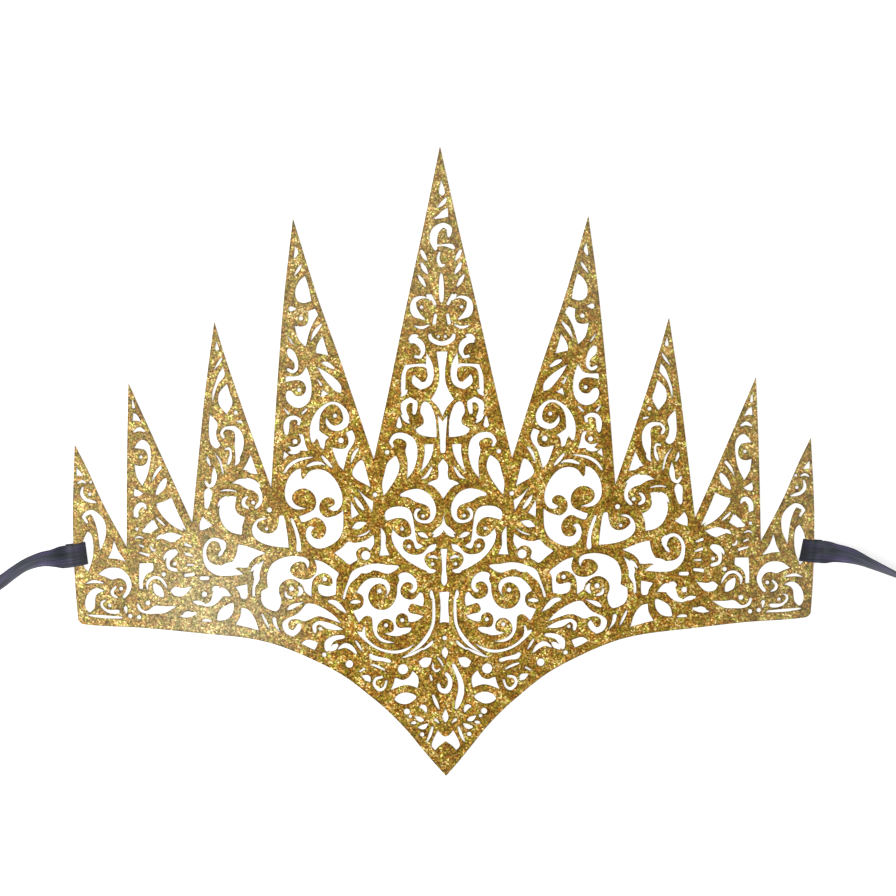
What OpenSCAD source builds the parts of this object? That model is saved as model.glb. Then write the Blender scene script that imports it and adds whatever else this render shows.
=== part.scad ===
// Paper crown cut from one sheet of gold glitter card, with two satin ribbon ties.
// It lies flat with the glitter side up: X is across the crown, Y runs from the lower point to the tall
// middle spike, and Z = 0 is the surface that it lies on. The origin is under the middle of the crown.

/* [Crown] */
// Across the two outer spikes
crown_w = 296; // [240:1:360]
// From the lower point to the tip of the middle spike
crown_h = 251.6; // [210:0.2:300]
// Thickness of the glitter card
card_t = 0.6; // [0.3:0.05:1.2]

/* [Ribbon ties] */
// Width of the satin ribbon
ribbon_w = 9; // [6:0.5:11]
// Thickness of the ribbon
ribbon_t = 0.3; // [0.2:0.05:0.4]
// Height of the ties, in percent of the crown's height
tie_share = 35.4; // [34.4:0.1:36]
// Room in the slot below the ribbon
slot_gap = 1.9; // [1.2:0.1:3]
// Ribbon turned back under the edge and stuck to itself
tail_l = 8; // [6:0.2:8.2]
// Width of the wound spare ribbon, at the middle of its turns
coil_d = 90; // [90:1:108]
// Turns in the wound spare ribbon
coil_turns = 2; // [1:1:3]
// Spacing of the turns
turn_gap = 4; // [3:0.5:6]

/* [Hidden] */
// The size that the points below were drawn at
draw_w = 296;
draw_h = 251.6;
across = crown_w / draw_w;
up = crown_h / draw_h;
// Largest turn, in degrees, that one straight facet of a curve makes up for
facet = 60;
// Below the first width a cut ends in a point, and from the second one on it ends round
sharp_w = 0.65;
round_w = 1.2;
// Where the ribbon dives into its slot, and the heights of its layers: it passes over and under the card
dive_x = 142.6 * across;
tie_y = crown_h * tie_share / 100;
card_z = ribbon_t;
tail_z = ribbon_t / 2;
top_z = card_z + card_t + ribbon_t / 2;
// Outer turn of the wound ribbon, and how far before that turn's lowest point the straight run touches it
coil_r = coil_d / 2 + coil_turns * turn_gap / 2;
touch = sqrt(2 * coil_r * ribbon_t);
// Where each wound ribbon touches down, from the place where the ribbon dives
left_coil = [96.8, -20.3];
right_coil = [98.8, -16.7];

// Routes of the ribbons, as [outwards, up, heading, roll] from the place where they dive: each lies flat
// across the edge of the crown, then rolls on to its lower edge
left_route = [
  [0.6, 1.2, -7, 0], [4.9, 0.3, -7, 0], [8.6, -0.2, -6, 0], [12.8, -0.7, -5, 36], [17.4, -1.1, -9, 50],
  [21.8, -2.4, -22, 58], [25.8, -4.3, -31, 63], [30.2, -7.3, -36, 63], [34.8, -10.7, -36, 62],
  [40, -14.2, -31, 66], [46, -17.1, -21, 73], [52, -18.9, -12, 80], [58, -19.8, -6, 86],
  [66, -20.2, -2, 90], [74, -20.3, 0, 90], [82, -20.3, 0, 90],
];
right_route = [
  [0.6, -0.3, -12, 0], [4.9, -0.8, -7, 0], [8.6, -1.1, -6, 0], [13, -1.6, -9, 32], [16.8, -2.2, -12, 42],
  [19.6, -2.9, -17, 48], [22.6, -4, -21, 57], [25.6, -5.3, -24, 64], [28.8, -6.7, -24, 68],
  [33, -8.6, -24, 73], [38.4, -11, -24, 78], [44, -13.2, -19, 83], [50, -14.8, -12, 87],
  [56, -15.8, -7, 90], [62, -16.3, -3, 90], [70, -16.6, -1, 90], [78, -16.7, 0, 90], [86, -16.7, 0, 90],
];

// The right half of the outline, from the lower point up the side and along the spikes to the middle tip.
// All points are [across from the middle, up from the lower point], and a third number of 1 is a corner.
outline_half = [
  [0, 0, 1], [5, 5.6], [10, 11.6], [15, 17.8], [20, 23.2], [25, 28], [30, 32.2], [35, 36.3], [40, 40],
  [45, 43], [50, 45.6], [60, 50.2], [70, 53.8], [80, 55.9], [98, 57.9], [120, 60.2], [144.2, 61.9],
  [146.2, 63.8, 1], [148, 100], [147, 133.6, 1], [142.2, 124], [135.5, 109], [126.6, 92.4, 1],
  [126.2, 125], [125.3, 158, 1], [120, 146], [110, 123.4], [100.4, 102, 1], [97.4, 130], [94.6, 155],
  [90.8, 182.2, 1], [86.6, 168], [78, 142], [68.7, 115.6, 1], [66.4, 150], [63, 190], [59, 223.2, 1],
  [49.6, 192], [40, 164.4], [27.6, 126.6, 1], [21.6, 153], [14, 188], [7, 219], [0, 251.6, 1],
];

// The cuts of one half. A pen cut is a stroke of the knife, as [across, up, width] along its middle line;
// a window is a closed curve, with a third number of 1 at its corners; a dot is [across, up, radius].
// Side panel, beside the ribbon
// The slot that a ribbon passes through, which follows the ribbon's width and height
tie_v = tie_y / up;
half_v = ribbon_w / 2 / up;
low_v = tie_v - half_v - slot_gap / up;
ribbon_slot = [
  [142.1, low_v, 1], [144, tie_v - half_v + 0.6], [144.4, tie_v + 0.8], [144, tie_v + half_v + 1.7],
  [142.2, tie_v + half_v + 5.4], [140.3, tie_v + half_v + 3], [139.9, tie_v + 3.6], [140.3, tie_v - 1],
];
side_pens = [
  [[137.3, 91, 0], [136.5, 97, 3], [137.2, 102.4, 3.8], [140.4, 106.6, 1.9], [143.8, 104.8, 1.6],
    [142.2, 102.2, 0.8]],
  [[138.2, 81.7, 0], [135.4, 82.2, 3], [132.6, 82, 4.8], [129.6, 82, 3.8], [127, 80.2, 2.6],
    [125.8, 77.2, 2], [126.6, 74.4, 1.5], [128.2, 72.3, 0.9]],
  [[135.6, 75.2, 0.6], [138.6, 75.2, 2.2], [140.6, 73.6, 3.2], [141.4, 71, 4], [141.6, 68.3, 3.4]],
  [[134.8, 71.6, 0.6], [136.7, 70.6, 1], [136.6, 68.8, 1], [134.6, 67.1, 1.1], [132, 66.7, 1.6],
    [129.8, 66.9, 1]],
  [[122.5, 69.8, 0.8], [121.4, 67.4, 1.2], [118.8, 66.4, 1.2], [115.4, 67.4, 3.2], [112, 67.4, 2.8],
    [106.8, 68.8, 0]],
  [[115.7, 77.3, 1.6], [114.2, 75, 3.6], [112.8, 73.2, 2]],
  [[106.4, 90.6, 1], [108.8, 89.4, 3], [110.2, 86.8, 1.6], [109.8, 84.2, 1.4], [107, 83.1, 1.4]],
  [[107.6, 74.8, 3.6], [104.6, 74.4, 3.2], [100.6, 76.6, 0.4]],
  [[106, 64.6, 0.4], [103, 65, 1.8], [99, 65.9, 0.8]],
  [[119.6, 99.6, 0.8], [117.6, 98.9, 2], [115.4, 100.6, 3], [115.8, 103.6, 0.6]],
  [[114, 96.3, 0.4], [110.6, 96.5, 3], [108.4, 96.2, 3.8], [104.2, 96.8, 0]],
];
side_windows = [
  [[131.7, 95.4, 1], [130, 91], [127, 86.8, 1], [130.5, 87.8], [134.2, 88.1, 1], [132.8, 91]],
  [[121.7, 75.8, 1], [121.7, 86, 1], [116.2, 86, 1], [116.2, 83.2, 1], [118.6, 81.8], [120.2, 79],
    [120.4, 75.8, 1]],
];

// First and second spikes
outer_pens = [
  [[118.9, 109.2, 0.6], [121, 109.4, 1.4], [122.5, 107.2, 1.6], [122.4, 104.6, 1.2]],
  [[111, 119.2, 1.6], [112.4, 116.6, 2.8], [114.4, 113.7, 1.2]],
];
outer_windows = [
  [[146.4, 124.6, 1], [146.4, 121.2, 1], [143.6, 121.2, 1]],
  [[123.5, 146.2, 1], [121.8, 145], [120.3, 142.2, 1], [122, 143], [123.8, 142.8, 1]],
  [[123.3, 132, 1], [121.8, 134.2], [120, 135.3], [117.8, 134], [116.7, 131], [116.9, 126.5],
    [118, 121.5], [120.2, 116.8, 1], [122.4, 120.6], [123.3, 125.4, 1], [120.8, 124.8], [118.6, 125.8],
    [117.9, 128.6], [119, 131.2], [121, 131.8]],
  [[123.4, 116, 1], [119.8, 113.9, 1], [121.4, 112.9], [123.4, 112.8, 1]],
  [[114.8, 109.7, 1], [111, 110.8], [108.6, 112.2, 1], [106.2, 106.4], [102.6, 98.8, 1], [107.6, 102.4],
    [112, 106.6]],
];

// Third spike and the panel below it
third_pens = [
  [[87.4, 164, 0], [88, 161.2, 2.4], [90, 157.6, 1.2], [91.4, 153.6, 1], [91.8, 149.6, 0.4]],
  [[86, 157.4, 0], [87, 153.4, 4.4], [86.6, 149.8, 5.6], [86.4, 147.2, 3], [86.2, 145.2, 0.6]],
  [[87.4, 135.6, 0.8], [88.3, 137.6, 1.2], [86.6, 139.7, 1.1], [83, 139.2, 2], [81.4, 136.4, 3.2],
    [81.4, 132.4, 3.6], [81.9, 128.6, 2], [82.9, 125.3, 0.4]],
  [[84.4, 117.6, 0], [81.4, 118.2, 2.2], [78, 117.2, 3.8], [75.2, 115.8, 3], [73.2, 113, 1.7],
    [73.2, 110, 1.5], [75.2, 107.5, 0.9]],
  [[91.4, 124.6, 0], [91.4, 120.6, 2.2], [91.8, 117.8, 1.7], [93.6, 116.5, 1.2], [95.2, 118.6, 0.7]],
  [[93.9, 114.2, 3.2], [94.2, 111, 2.6], [94.6, 108.2, 1.6]],
  [[88.8, 89, 0.6], [88, 91.8, 2.2], [89.6, 94.6, 1.6], [92.6, 95.2, 1.2], [95.2, 92.4, 1.4],
    [95.5, 88.4, 1.6], [94, 85, 2.6], [90.6, 83, 4], [86.4, 82.8, 4.4], [83, 82, 2.4], [80, 81.2, 0]],
  [[98.4, 69.8, 0.5], [95, 69, 1.2], [92.4, 70.2, 2.4], [90.6, 73.4, 4.6], [88.4, 74.2, 3.6],
    [84.9, 72.6, 0]],
  [[89.8, 63.8, 2.6], [88, 65.4, 4.8], [86, 67.4, 4], [84.4, 69.6, 0.8]],
];
third_windows = [
  [[93, 145.2, 1], [90.8, 143], [89.8, 141, 1], [90.5, 138], [90, 135], [88.9, 132.9, 1], [90.4, 131.6],
    [92.4, 133], [93.3, 136], [93.4, 140]],
  [[76.8, 129, 1], [74.3, 121.6, 1], [77, 122.4], [80, 123, 1], [78.4, 125.4]],
  [[82.6, 112.2, 1], [85.4, 112.4], [88.2, 110.6], [89.6, 107], [89, 103], [87, 99.6], [84, 97.7],
    [80.6, 97, 1], [80.4, 100.4], [79.3, 103.9, 1], [82, 105.4], [83.2, 107.8], [83, 110]],
  [[96.2, 104.6, 1], [94.4, 102.6], [92.3, 101, 1], [94.6, 99.6], [97.4, 98.8, 1], [97.4, 101.8]],
  [[87, 84.4], [84.4, 86.4], [82.9, 89.4], [82.2, 93.2, 1], [78.6, 92.4], [71.2, 89.6, 1], [75.2, 87.9],
    [77.6, 85.6], [78.2, 84, 1], [82.6, 84, 1], [84.6, 83.6]],
  [[83.4, 76.2, 1], [78.6, 77.2, 1], [78.9, 71.6, 1], [81, 71.6], [81.8, 73.8]],
  [[81.2, 68, 1], [78.6, 67.2], [76, 64], [74.1, 58.7, 1], [78.6, 60], [83.5, 61.2, 1], [81.6, 64.4]],
];
third_dots = [
  [95.8, 73.4, 1.1],
];

// Fourth spike
fourth_pens = [
  [[61.4, 171, 1], [60.2, 168.9, 3], [58.4, 166, 1.7], [58.2, 163.4, 1.4], [59.8, 161.9, 1.3],
    [61.9, 163, 0.9]],
  [[50, 163.8, 0], [47, 160.8, 2.2], [43.8, 157.6, 3.4], [41.6, 155, 3], [40.4, 153.2, 0.4]],
  [[46.5, 143.6, 0.5], [46, 141.4, 1.4], [44, 139.4, 1.9], [41.4, 139.4, 2.4], [39, 141, 2.6],
    [38.6, 144.2, 2.4], [40.6, 147.8, 1.5], [43.8, 149.3, 1], [47.2, 147.9, 1.3], [49.8, 144.8, 2.2],
    [51, 140.8, 3.5], [51.2, 137.2, 3.8], [52, 133.6, 0.8]],
  [[57.6, 140.6, 1], [57.2, 142.6, 1.6], [59.2, 143.6, 1.6], [61.6, 142.8, 1.9], [62.4, 140.4, 2.4],
    [62.4, 137.2, 1.4]],
];
fourth_windows = [
  [[54.4, 200.2, 1], [56.8, 198], [58.2, 195], [58.3, 192], [57.2, 190], [54.8, 189.3], [52, 190.1, 1],
    [52.8, 194.6]],
  [[53.4, 186, 1], [50.6, 187, 1], [49.3, 184.6], [51.4, 181.2], [52.9, 177.6], [54.4, 171.8, 1],
    [57.2, 174.8], [58.8, 180.3, 1], [56.4, 179.9], [54.1, 180.6], [53.2, 183]],
  [[47.6, 176, 1], [49.6, 173], [50.2, 169.4, 1], [48, 168.9], [45.3, 168.2, 1], [46.5, 172]],
  [[62.6, 157.8, 1], [62.4, 159.9, 1], [59.4, 160], [56.4, 160.8], [54.2, 164, 1], [52.8, 159.6],
    [52.2, 155], [53, 150.6], [55.6, 147.9], [58.6, 147.6], [61.6, 149.6], [62.6, 152.4], [61.8, 154.3],
    [60.2, 154, 1], [58.4, 152.2], [55.8, 152.6], [54.4, 155], [55.6, 157.8], [58.4, 158.6]],
  [[47.9, 154.6, 1], [45.6, 152.9, 1], [48.7, 151.6, 1]],
  [[50, 138.6], [48, 137.2], [45.4, 135.6, 1], [46.8, 134.4], [47.4, 130.8, 1], [48.8, 131.6],
    [49.6, 134], [50.4, 135.4]],
  [[57.6, 137.2, 1], [55.8, 136.6, 1], [55, 133.2], [53.9, 130.2, 1], [57, 130.4], [60, 129.9, 1],
    [61.9, 132.4, 1], [59.4, 131.8], [57.6, 132.6], [56.6, 134.4]],
  [[63.4, 130.2, 1], [61.6, 128.6, 1], [63.9, 126.8, 1]],
  [[38.6, 137.2, 1], [36.2, 138.4, 1], [35.1, 135.6], [35.8, 132.8], [37.6, 130.2], [38.8, 126.6],
    [39.8, 122.4, 1], [41.6, 124.4], [43, 127.6], [44.4, 131.6, 1], [42, 131], [39.4, 131], [37.8, 132.8],
    [37.8, 135.2]],
];
fourth_dots = [
  [40.7, 134.3, 1.1],
];

// The two large round panels between the fourth spike and the lower edge
panel_pens = [
  [[60.8, 103.4, 0.8], [59, 98.6, 1.3], [58, 94, 1.5], [58, 90.8, 1.9]],
  [[71.8, 86.8, 0.4], [73.8, 84.2, 1.8], [75, 81.4, 2.6], [74.8, 79.2, 2.2], [76, 76, 1.1],
    [76.1, 72.3, 0.9]],
  [[46.4, 70.2, 0.8], [43.8, 69.5, 2], [41.4, 67.4, 1.9], [38.8, 65, 0]],
  [[51.8, 58, 1.2], [52, 60.2, 1.6], [50, 61.6, 1.3], [46.8, 60.4, 2.5], [43.6, 59.5, 1.9],
    [40.5, 58.8, 0.4]],
  [[47, 51, 2], [46.5, 53.4, 2.8], [44.2, 55.3, 2], [40, 55.9, 1]],
];
panel_windows = [
  [[56.8, 123.3, 1], [59.4, 122.2], [62, 119], [63.2, 115], [63, 111], [61, 108], [58.4, 106.9],
    [54.8, 107.2, 1], [58.4, 108.4], [60.3, 110.6], [60, 113.2], [57.6, 115], [54.6, 115.1], [51.8, 113],
    [50.8, 109.6], [51.8, 106.8], [54.4, 105.3], [57.7, 104.1, 1], [56.6, 101.9, 1], [54, 102.5],
    [51.4, 103.7], [49.4, 103.1], [47.6, 101.2], [46.9, 98.6], [48, 95.9], [50.4, 95], [52.4, 96],
    [52.9, 98], [51.6, 99.6, 1], [53.4, 100.2], [54.8, 98.6], [54.9, 95.6], [53, 92.6], [50, 91.2],
    [45.4, 92.4], [42, 95], [40.3, 98.6], [40, 103], [40, 106.4, 1], [42, 104.8], [44.4, 103.9],
    [46.8, 103.6], [49, 105.4], [49.6, 108], [48.4, 110.6], [46, 111.7], [43.8, 110.8], [43.6, 108.6],
    [46, 107.2, 1], [44.2, 106.2], [42.2, 106.6], [40.7, 108.6], [40.3, 111.4], [41.2, 115], [43.4, 119],
    [46.6, 122], [50.4, 122.8], [53.6, 121.8], [55.4, 119.4], [56.2, 119], [56.7, 120.2]],
  [[70.2, 103.4, 1], [73.2, 103.6], [75.8, 101.4], [76.6, 98.4], [75.2, 95.4], [72, 93.4], [67.6, 92.2],
    [61.9, 91.6, 1], [62.6, 98], [63.9, 104.4, 1], [65.4, 104.6, 1], [66, 101.4], [67, 98.8],
    [69.4, 97.4], [72.4, 98], [74.6, 100.2], [73.8, 102.2], [72, 102.9]],
  [[51.8, 86.9, 1], [50.9, 84.2], [51.1, 81.8], [52.7, 79.7], [55, 78.9], [57.8, 79.2], [60.4, 80.7],
    [61.5, 83], [60, 85.3], [57.6, 86.1], [55.5, 85.5], [54.5, 83, 1], [53.8, 85], [54.4, 86.9], [56.8, 88],
    [60.6, 88.3], [64.8, 87.5], [68.4, 85.5], [70.2, 82.6], [70.8, 79.2], [70.4, 75.8, 1], [73.1, 74.4],
    [73.1, 70.6], [71.6, 68], [67.6, 66.3], [65.7, 68], [65.1, 71], [66, 73.9], [65.6, 76.6], [63.6, 78.6],
    [61, 79.2], [58.4, 78.1], [56.4, 76.2], [55.6, 74], [53, 71.9, 1], [53, 75.4], [52.5, 78.4],
    [50.8, 80.4], [48, 81.4], [45.2, 79.9], [44.6, 77.4], [46.2, 76.1], [50.2, 76.7, 1], [50.4, 74.8],
    [49.6, 73], [46.8, 72.1], [43.4, 72.7], [43.1, 76], [43, 79], [42.1, 81, 1], [44.4, 83.1], [48, 85.6]],
  [[41.2, 61.2, 1], [44, 64.3], [47.6, 66.9], [52, 69], [55, 69.2], [56.8, 67.2], [59, 65.1], [62.4, 63.5],
    [64.5, 62], [64.7, 59.8], [63.2, 57.3], [60.6, 56.1], [58.2, 57.9], [57.2, 60.2], [58.4, 61.8, 1],
    [59.2, 60.4], [60.6, 58.7], [62.2, 59.6], [62.4, 61.6], [61, 63], [58.4, 63], [56.1, 62.2], [54, 62.9],
    [50.6, 64.2], [46.8, 63.3]],
  [[57.4, 53.4, 1], [54.8, 54.9], [50.6, 53.7, 1], [51.9, 50.7, 1], [54.4, 51.8]],
];

// Beside the middle line, from the tall spike down
middle_pens = [
  [[5, 190.4, 0.6], [7.6, 191.2, 1], [10.6, 190, 1.8], [11.8, 187, 1.6], [10.8, 184, 1.4],
    [8, 182.4, 0.6]],
  [[12.9, 173.2, 0.8], [11, 174.2, 2.8], [8.6, 172.6, 2.6], [7.6, 169.6, 1.8], [8.8, 167.2, 1.5],
    [11, 167.6, 1]],
  [[6.2, 169, 0], [5.2, 164.4, 2.6], [4.6, 160, 2.4], [5.6, 156.8, 2.2], [8.6, 155.4, 2.4],
    [11.2, 157.2, 1.7], [11.2, 160, 0.8]],
  [[7, 164, 1.2], [10.5, 164, 1], [14.2, 163.4, 2], [15.4, 160, 1.6], [15.6, 156, 1.8],
    [15.9, 152.6, 0.8]],
  [[10.4, 149, 1.2], [12.8, 150.2, 2.2], [15.2, 148.6, 2.4], [15.4, 145.6, 2], [13.8, 142.4, 1]],
  [[19.8, 131.4, 0.8], [20.8, 133.4, 1.6], [19.2, 135.6, 2], [16, 135.8, 2.5], [13, 133.8, 3.4],
    [12.6, 130, 4.8], [12.4, 126, 3.6], [13.1, 122.2, 2.2], [14.4, 118.8, 0.6]],
  [[23.8, 112, 0], [22.8, 116, 3.4], [21, 120.4, 5], [19.9, 124, 5.2], [19.2, 126.6, 2.6]],
  [[36.7, 99.2, 0], [34, 100.3, 2.8], [30.6, 101.4, 0.6]],
  [[17.2, 112.2, 0.8], [14, 112.7, 2.8], [10.6, 112.1, 5.2], [7.4, 110.8, 4.8], [4.8, 108.2, 3],
    [4.2, 104.6, 2.1], [5.6, 102, 1.6], [8.4, 101.5, 1.1], [10.6, 102.6, 1.2], [11.2, 104.6, 1.2],
    [10.3, 106.3, 1.2], [8.8, 106.5, 0.6]],
];
middle_windows = [
  [[32.4, 126.4], [34.8, 124.6], [36.3, 121.2], [35, 119], [32, 117.2], [29, 115.5, 1], [30.2, 120],
    [31.2, 124]],
  [[34.3, 115, 1], [31, 111.7], [28, 109.8, 1], [28.5, 105.6, 1], [30.6, 109.2], [32.4, 112]],
  [[37, 110, 1], [35.4, 107.2], [33.8, 104.8, 1], [36.8, 103, 1]],
  [[7.3, 132.4, 1], [7.3, 129], [7.9, 125.4], [8.9, 121.4, 1], [6.1, 124.8], [4.3, 128.6], [3.7, 132.4, 1]],
  [[25.8, 88.1, 1], [25.2, 91], [25.1, 96], [25.1, 99.6, 1], [23.3, 96.5], [23.2, 92], [21.7, 88.3, 1]],
  [[43.8, 89.4, 1], [40.6, 91.5], [38.3, 93.8, 1], [35.4, 93.3], [31.4, 94.2], [28.1, 96.5, 1],
    [27.8, 93.2], [29.4, 90.2, 1], [31, 91.5], [33.4, 91.4], [35.1, 89.4], [34.6, 86.6, 1], [36.2, 85.6],
    [37.7, 84.6, 1], [40.6, 86.9]],
  [[3, 92.6, 1], [5.4, 92.1], [6.6, 91], [7.6, 89.7], [9, 88.7], [11, 88.3], [13, 88.5], [14.8, 89.3],
    [16.1, 90.7], [16.5, 92.3], [16, 93.8], [14.8, 94.7], [13.3, 94.5], [12.2, 93.5], [11.7, 92.2],
    [11.3, 91], [10.2, 90.7], [8.3, 91.7, 1], [9.4, 92.5], [10.5, 93.1], [11, 94.4], [11.4, 97],
    [11.8, 100], [12.2, 102.6], [12.7, 104.8], [13.8, 106.6], [15.8, 107.5], [18.4, 107.7], [21, 107.2],
    [22.9, 105.9], [23.5, 104.2], [22.8, 102.2, 1], [20.8, 102.6], [18.2, 103.2], [15.8, 102.8],
    [14.2, 101.5], [13.3, 99.8], [12.9, 97.6], [13.3, 96.3], [14.4, 95.6], [16, 95.3], [17.6, 95.8],
    [18.8, 96.8], [20.3, 98.6, 1], [20.9, 96.4], [20.6, 94.2], [19.7, 92], [18.4, 90], [16.8, 88],
    [14.6, 86], [11.6, 84.1], [8.6, 82.5], [5.6, 81.5], [3.4, 81.5, 1], [5.6, 82.9], [6.9, 84.1],
    [7.7, 85.6], [7.8, 87.1], [7.1, 88.4], [5.8, 89.3], [4.3, 89.8], [3.4, 90.8]],
  [[2.5, 135.2, 1], [2.5, 138.6], [2.8, 142.4], [3.8, 146], [5.4, 148.8], [7.4, 149.4, 1], [8.6, 147.4],
    [8.8, 145], [7.7, 143], [7.7, 140.6], [9.4, 139.4], [10.8, 138.4, 1], [9.2, 136.4], [6, 135.5]],
];
middle_dots = [
  [31.2, 88.3, 1.8],
];

// Lower medallion and the scrolls in it
lower_pens = [
  [[18.2, 83.7, 0.8], [22.5, 82.6, 3.4], [27, 83.2, 2], [32, 83, 1.8], [35.6, 80.8, 3], [38, 77.4, 1.2],
    [39.4, 74, 0.9], [40.2, 71, 0.8]],
  [[5, 74.6, 0.6], [4.3, 70, 1], [4.4, 62, 1.2], [5.4, 58.6, 1.2], [7.6, 54.8, 1.6], [10.6, 51.6, 1.2],
    [15.6, 48.2, 0.5]],
  [[35, 58, 0.5], [33.6, 57, 1.6], [31, 54.2, 1.2], [28, 51.8, 1], [23.6, 50, 1], [19, 49.6, 1.2],
    [15.4, 50.6, 1], [11.8, 52.8, 0.4]],
];
lower_windows = [
  [[24, 70.6, 1], [21.7, 74.4], [22.2, 77.2], [24, 78.7], [27, 79.3], [30.6, 78.7], [33.4, 76.2],
    [35, 73.6, 1], [32.8, 72.2], [32.2, 70.2], [32.8, 68], [34.2, 66.9], [36.6, 66.3, 1], [35.5, 64],
    [34.2, 61.4, 1], [33.2, 62.8], [31.2, 64.2], [29.2, 63.5], [28.8, 61.6], [28.5, 58], [26.6, 54.8],
    [23.6, 53.3], [19.8, 53.3, 1], [24, 54.6], [26.4, 56.4], [27.1, 58.6], [26.2, 61.2], [23.6, 62.9],
    [21, 61.8], [20.2, 59.4], [21, 57.7], [24, 57, 1], [21.2, 56.1], [17.6, 56.2], [14, 58.8, 1],
    [18.4, 59.4], [19.5, 61.4], [19.1, 63.8], [17.2, 65.1], [14.9, 64], [14.3, 61.7, 1], [11.2, 62],
    [8.4, 63.8, 1], [11.2, 64.6], [13.6, 65.1], [14.5, 66.8], [13.2, 68.8], [11, 68.4], [8.8, 67.8, 1],
    [8.2, 70.2], [8.6, 72.6], [9.8, 73.3], [10.8, 72], [12.4, 70.6], [15, 70.7], [17, 72.2], [17.5, 74.4],
    [16.6, 76.5], [14.8, 77.5], [12.8, 76.8], [12.6, 75], [14, 74, 1], [13, 73.1], [11.5, 74], [10.8, 76],
    [11.6, 78.9], [14, 81], [16.4, 81.3], [18.2, 80.3, 1], [17.9, 78.2], [18.7, 76.2], [18.9, 72.8],
    [19.8, 70], [22, 67.3], [25, 66.4], [27.8, 67.2], [29.7, 69.4], [30.4, 72], [29.4, 74.9], [27, 76.8],
    [24.4, 76.7], [23, 74.6], [23.1, 72.4]],
];

// The lower point
point_pens = [
  [[18.6, 30.9, 3.4], [15.8, 31.1, 4.7], [12.8, 31.5, 2.6]],
  [[30, 48.8, 1], [28.6, 47.4, 2], [25.4, 46.8, 1.4], [22.2, 46, 1.4]],
];
point_windows = [
  [[20, 39.2, 1], [17, 38.4], [14.6, 39.4], [12.9, 42, 1], [11, 40], [10.6, 37.6], [11.1, 35.1, 1],
    [13.6, 36.1], [16.6, 36.3], [21.8, 34.4, 1], [20.6, 37]],
  [[5.3, 47, 1], [8.2, 47.3], [10.5, 45.7, 1], [9.2, 43.5], [7.2, 43.5], [5.8, 45]],
];
point_dots = [
  [16.8, 42.7, 2], [38.2, 45, 1.5], [15.4, 25.8, 1.2],
];

// Cuts on the middle line, which aren't mirrored: two of its scrolls turn one way only
axis_pens = [
  [[0.4, 238, 0], [0.6, 232.8, 2.4]],
  [[-3.4, 222.4, 0.4], [-0.6, 223.3, 1.6], [1.8, 224.4, 3.4], [2.8, 226.8, 0.5]],
  [[3.2, 215.6, 1.4], [3.4, 218.4, 2.2], [0.6, 219.8, 2], [-2.2, 217.6, 3], [-3, 214, 3],
    [-2.2, 210.4, 1.4]],
  [[-1.6, 211.8, 1], [1.4, 211.9, 0.9], [4, 211.5, 1.8], [5.4, 210.4, 0.8]],
  [[0, 189.6, 1.4], [0, 195, 2], [0, 200.6, 0.8]],
  [[-5, 176.4, 1], [-4, 174.2, 1.8], [0, 172.6, 1.7], [4, 174.2, 1.8], [5, 176.4, 1]],
  [[0.2, 41, 1], [1.7, 39, 1.6], [1.9, 36.2, 1.8], [0.4, 33.8, 2.2], [-2, 34.6, 1.6], [-2.8, 36.8, 0.9]],
  [[3.2, 44.6, 1], [4.6, 41.6, 1.6], [6, 38, 2], [6.4, 34, 2.4], [5.4, 30, 2.4], [4.2, 26.6, 0.8]],
  [[0, 51.6, 0], [0, 49.4, 2.6], [0.2, 46.6, 0]],
  [[0, 26.8, 0], [0, 23.8, 2.4], [0, 22, 1.4]],
];
axis_windows = [
  [[0, 143.4, 1], [1.6, 147], [4.6, 150.3, 1], [2.6, 153.6], [1.3, 157.4], [1.2, 162], [2.2, 169.4, 1],
    [-2.2, 169.4, 1], [-1.2, 162], [-1.3, 157.4], [-2.6, 153.6], [-4.6, 150.3, 1], [-1.6, 147]],
  [[0, 141.4], [1.9, 144, 1], [1.6, 140], [1.1, 134], [0.8, 129, 1], [-0.8, 129, 1], [-1.1, 134],
    [-1.6, 140], [-1.9, 144, 1]],
  [[5.2, 116.5, 1], [2.6, 118], [1.8, 120.4], [1.9, 124], [0, 126.6, 1], [-1.9, 124], [-1.8, 120.4],
    [-2.6, 118], [-5.2, 116.5, 1], [-2.6, 114.4], [-1, 112.2], [0, 110.6, 1], [1, 112.2], [2.6, 114.4]],
  [[-1.3, 90.6, 1], [1.3, 90.6, 1], [0.9, 86], [0.8, 82], [1.2, 78], [0, 75.8], [-1.2, 78], [-0.8, 82],
    [-0.9, 86]],
  [[-2, 73.4, 1], [2, 73.4, 1], [1.5, 68], [1.9, 61, 1], [0, 61.4], [-1.9, 61, 1], [-1.5, 68]],
  [[3, 18.2, 1], [4.8, 14.8], [5.6, 12], [4.2, 10.2, 1], [2.8, 11.8], [0, 13.8], [-2.8, 11.8],
    [-4.2, 10.2, 1], [-5.6, 12], [-4.8, 14.8], [-3, 18.2, 1], [-1.4, 16.2], [0, 15.7], [1.4, 16.2]],
  [[-5, 96.4, 1], [-2.8, 98.8], [-0.9, 100.4], [0, 104, 1], [0.9, 100.4], [2.8, 98.8], [5, 96.4, 1],
    [2.8, 96.9], [0, 98], [-2.8, 96.9]],
];

half_pens = concat(
  side_pens, outer_pens, third_pens, fourth_pens, panel_pens,
  middle_pens, lower_pens, point_pens
);
half_windows = concat(
  [ribbon_slot], side_windows, outer_windows, third_windows, fourth_windows,
  panel_windows, middle_windows, lower_windows, point_windows
);
half_dots = concat(third_dots, fourth_dots, middle_dots, point_dots);

// A drawn row at its real place, from the middle of the crown
function place(p) = [p[0] * across, (p[1] - draw_h / 2) * up];
// The first two numbers of a row
function xy(p) = [p[0], p[1]];
// The same direction with a length of one
function unit(v) = v / max(norm(v), 0.000001);
// The angle between two directions, in degrees
function turn(a, b) = acos(max(-1, min(1, unit(a) * unit(b))));
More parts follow.
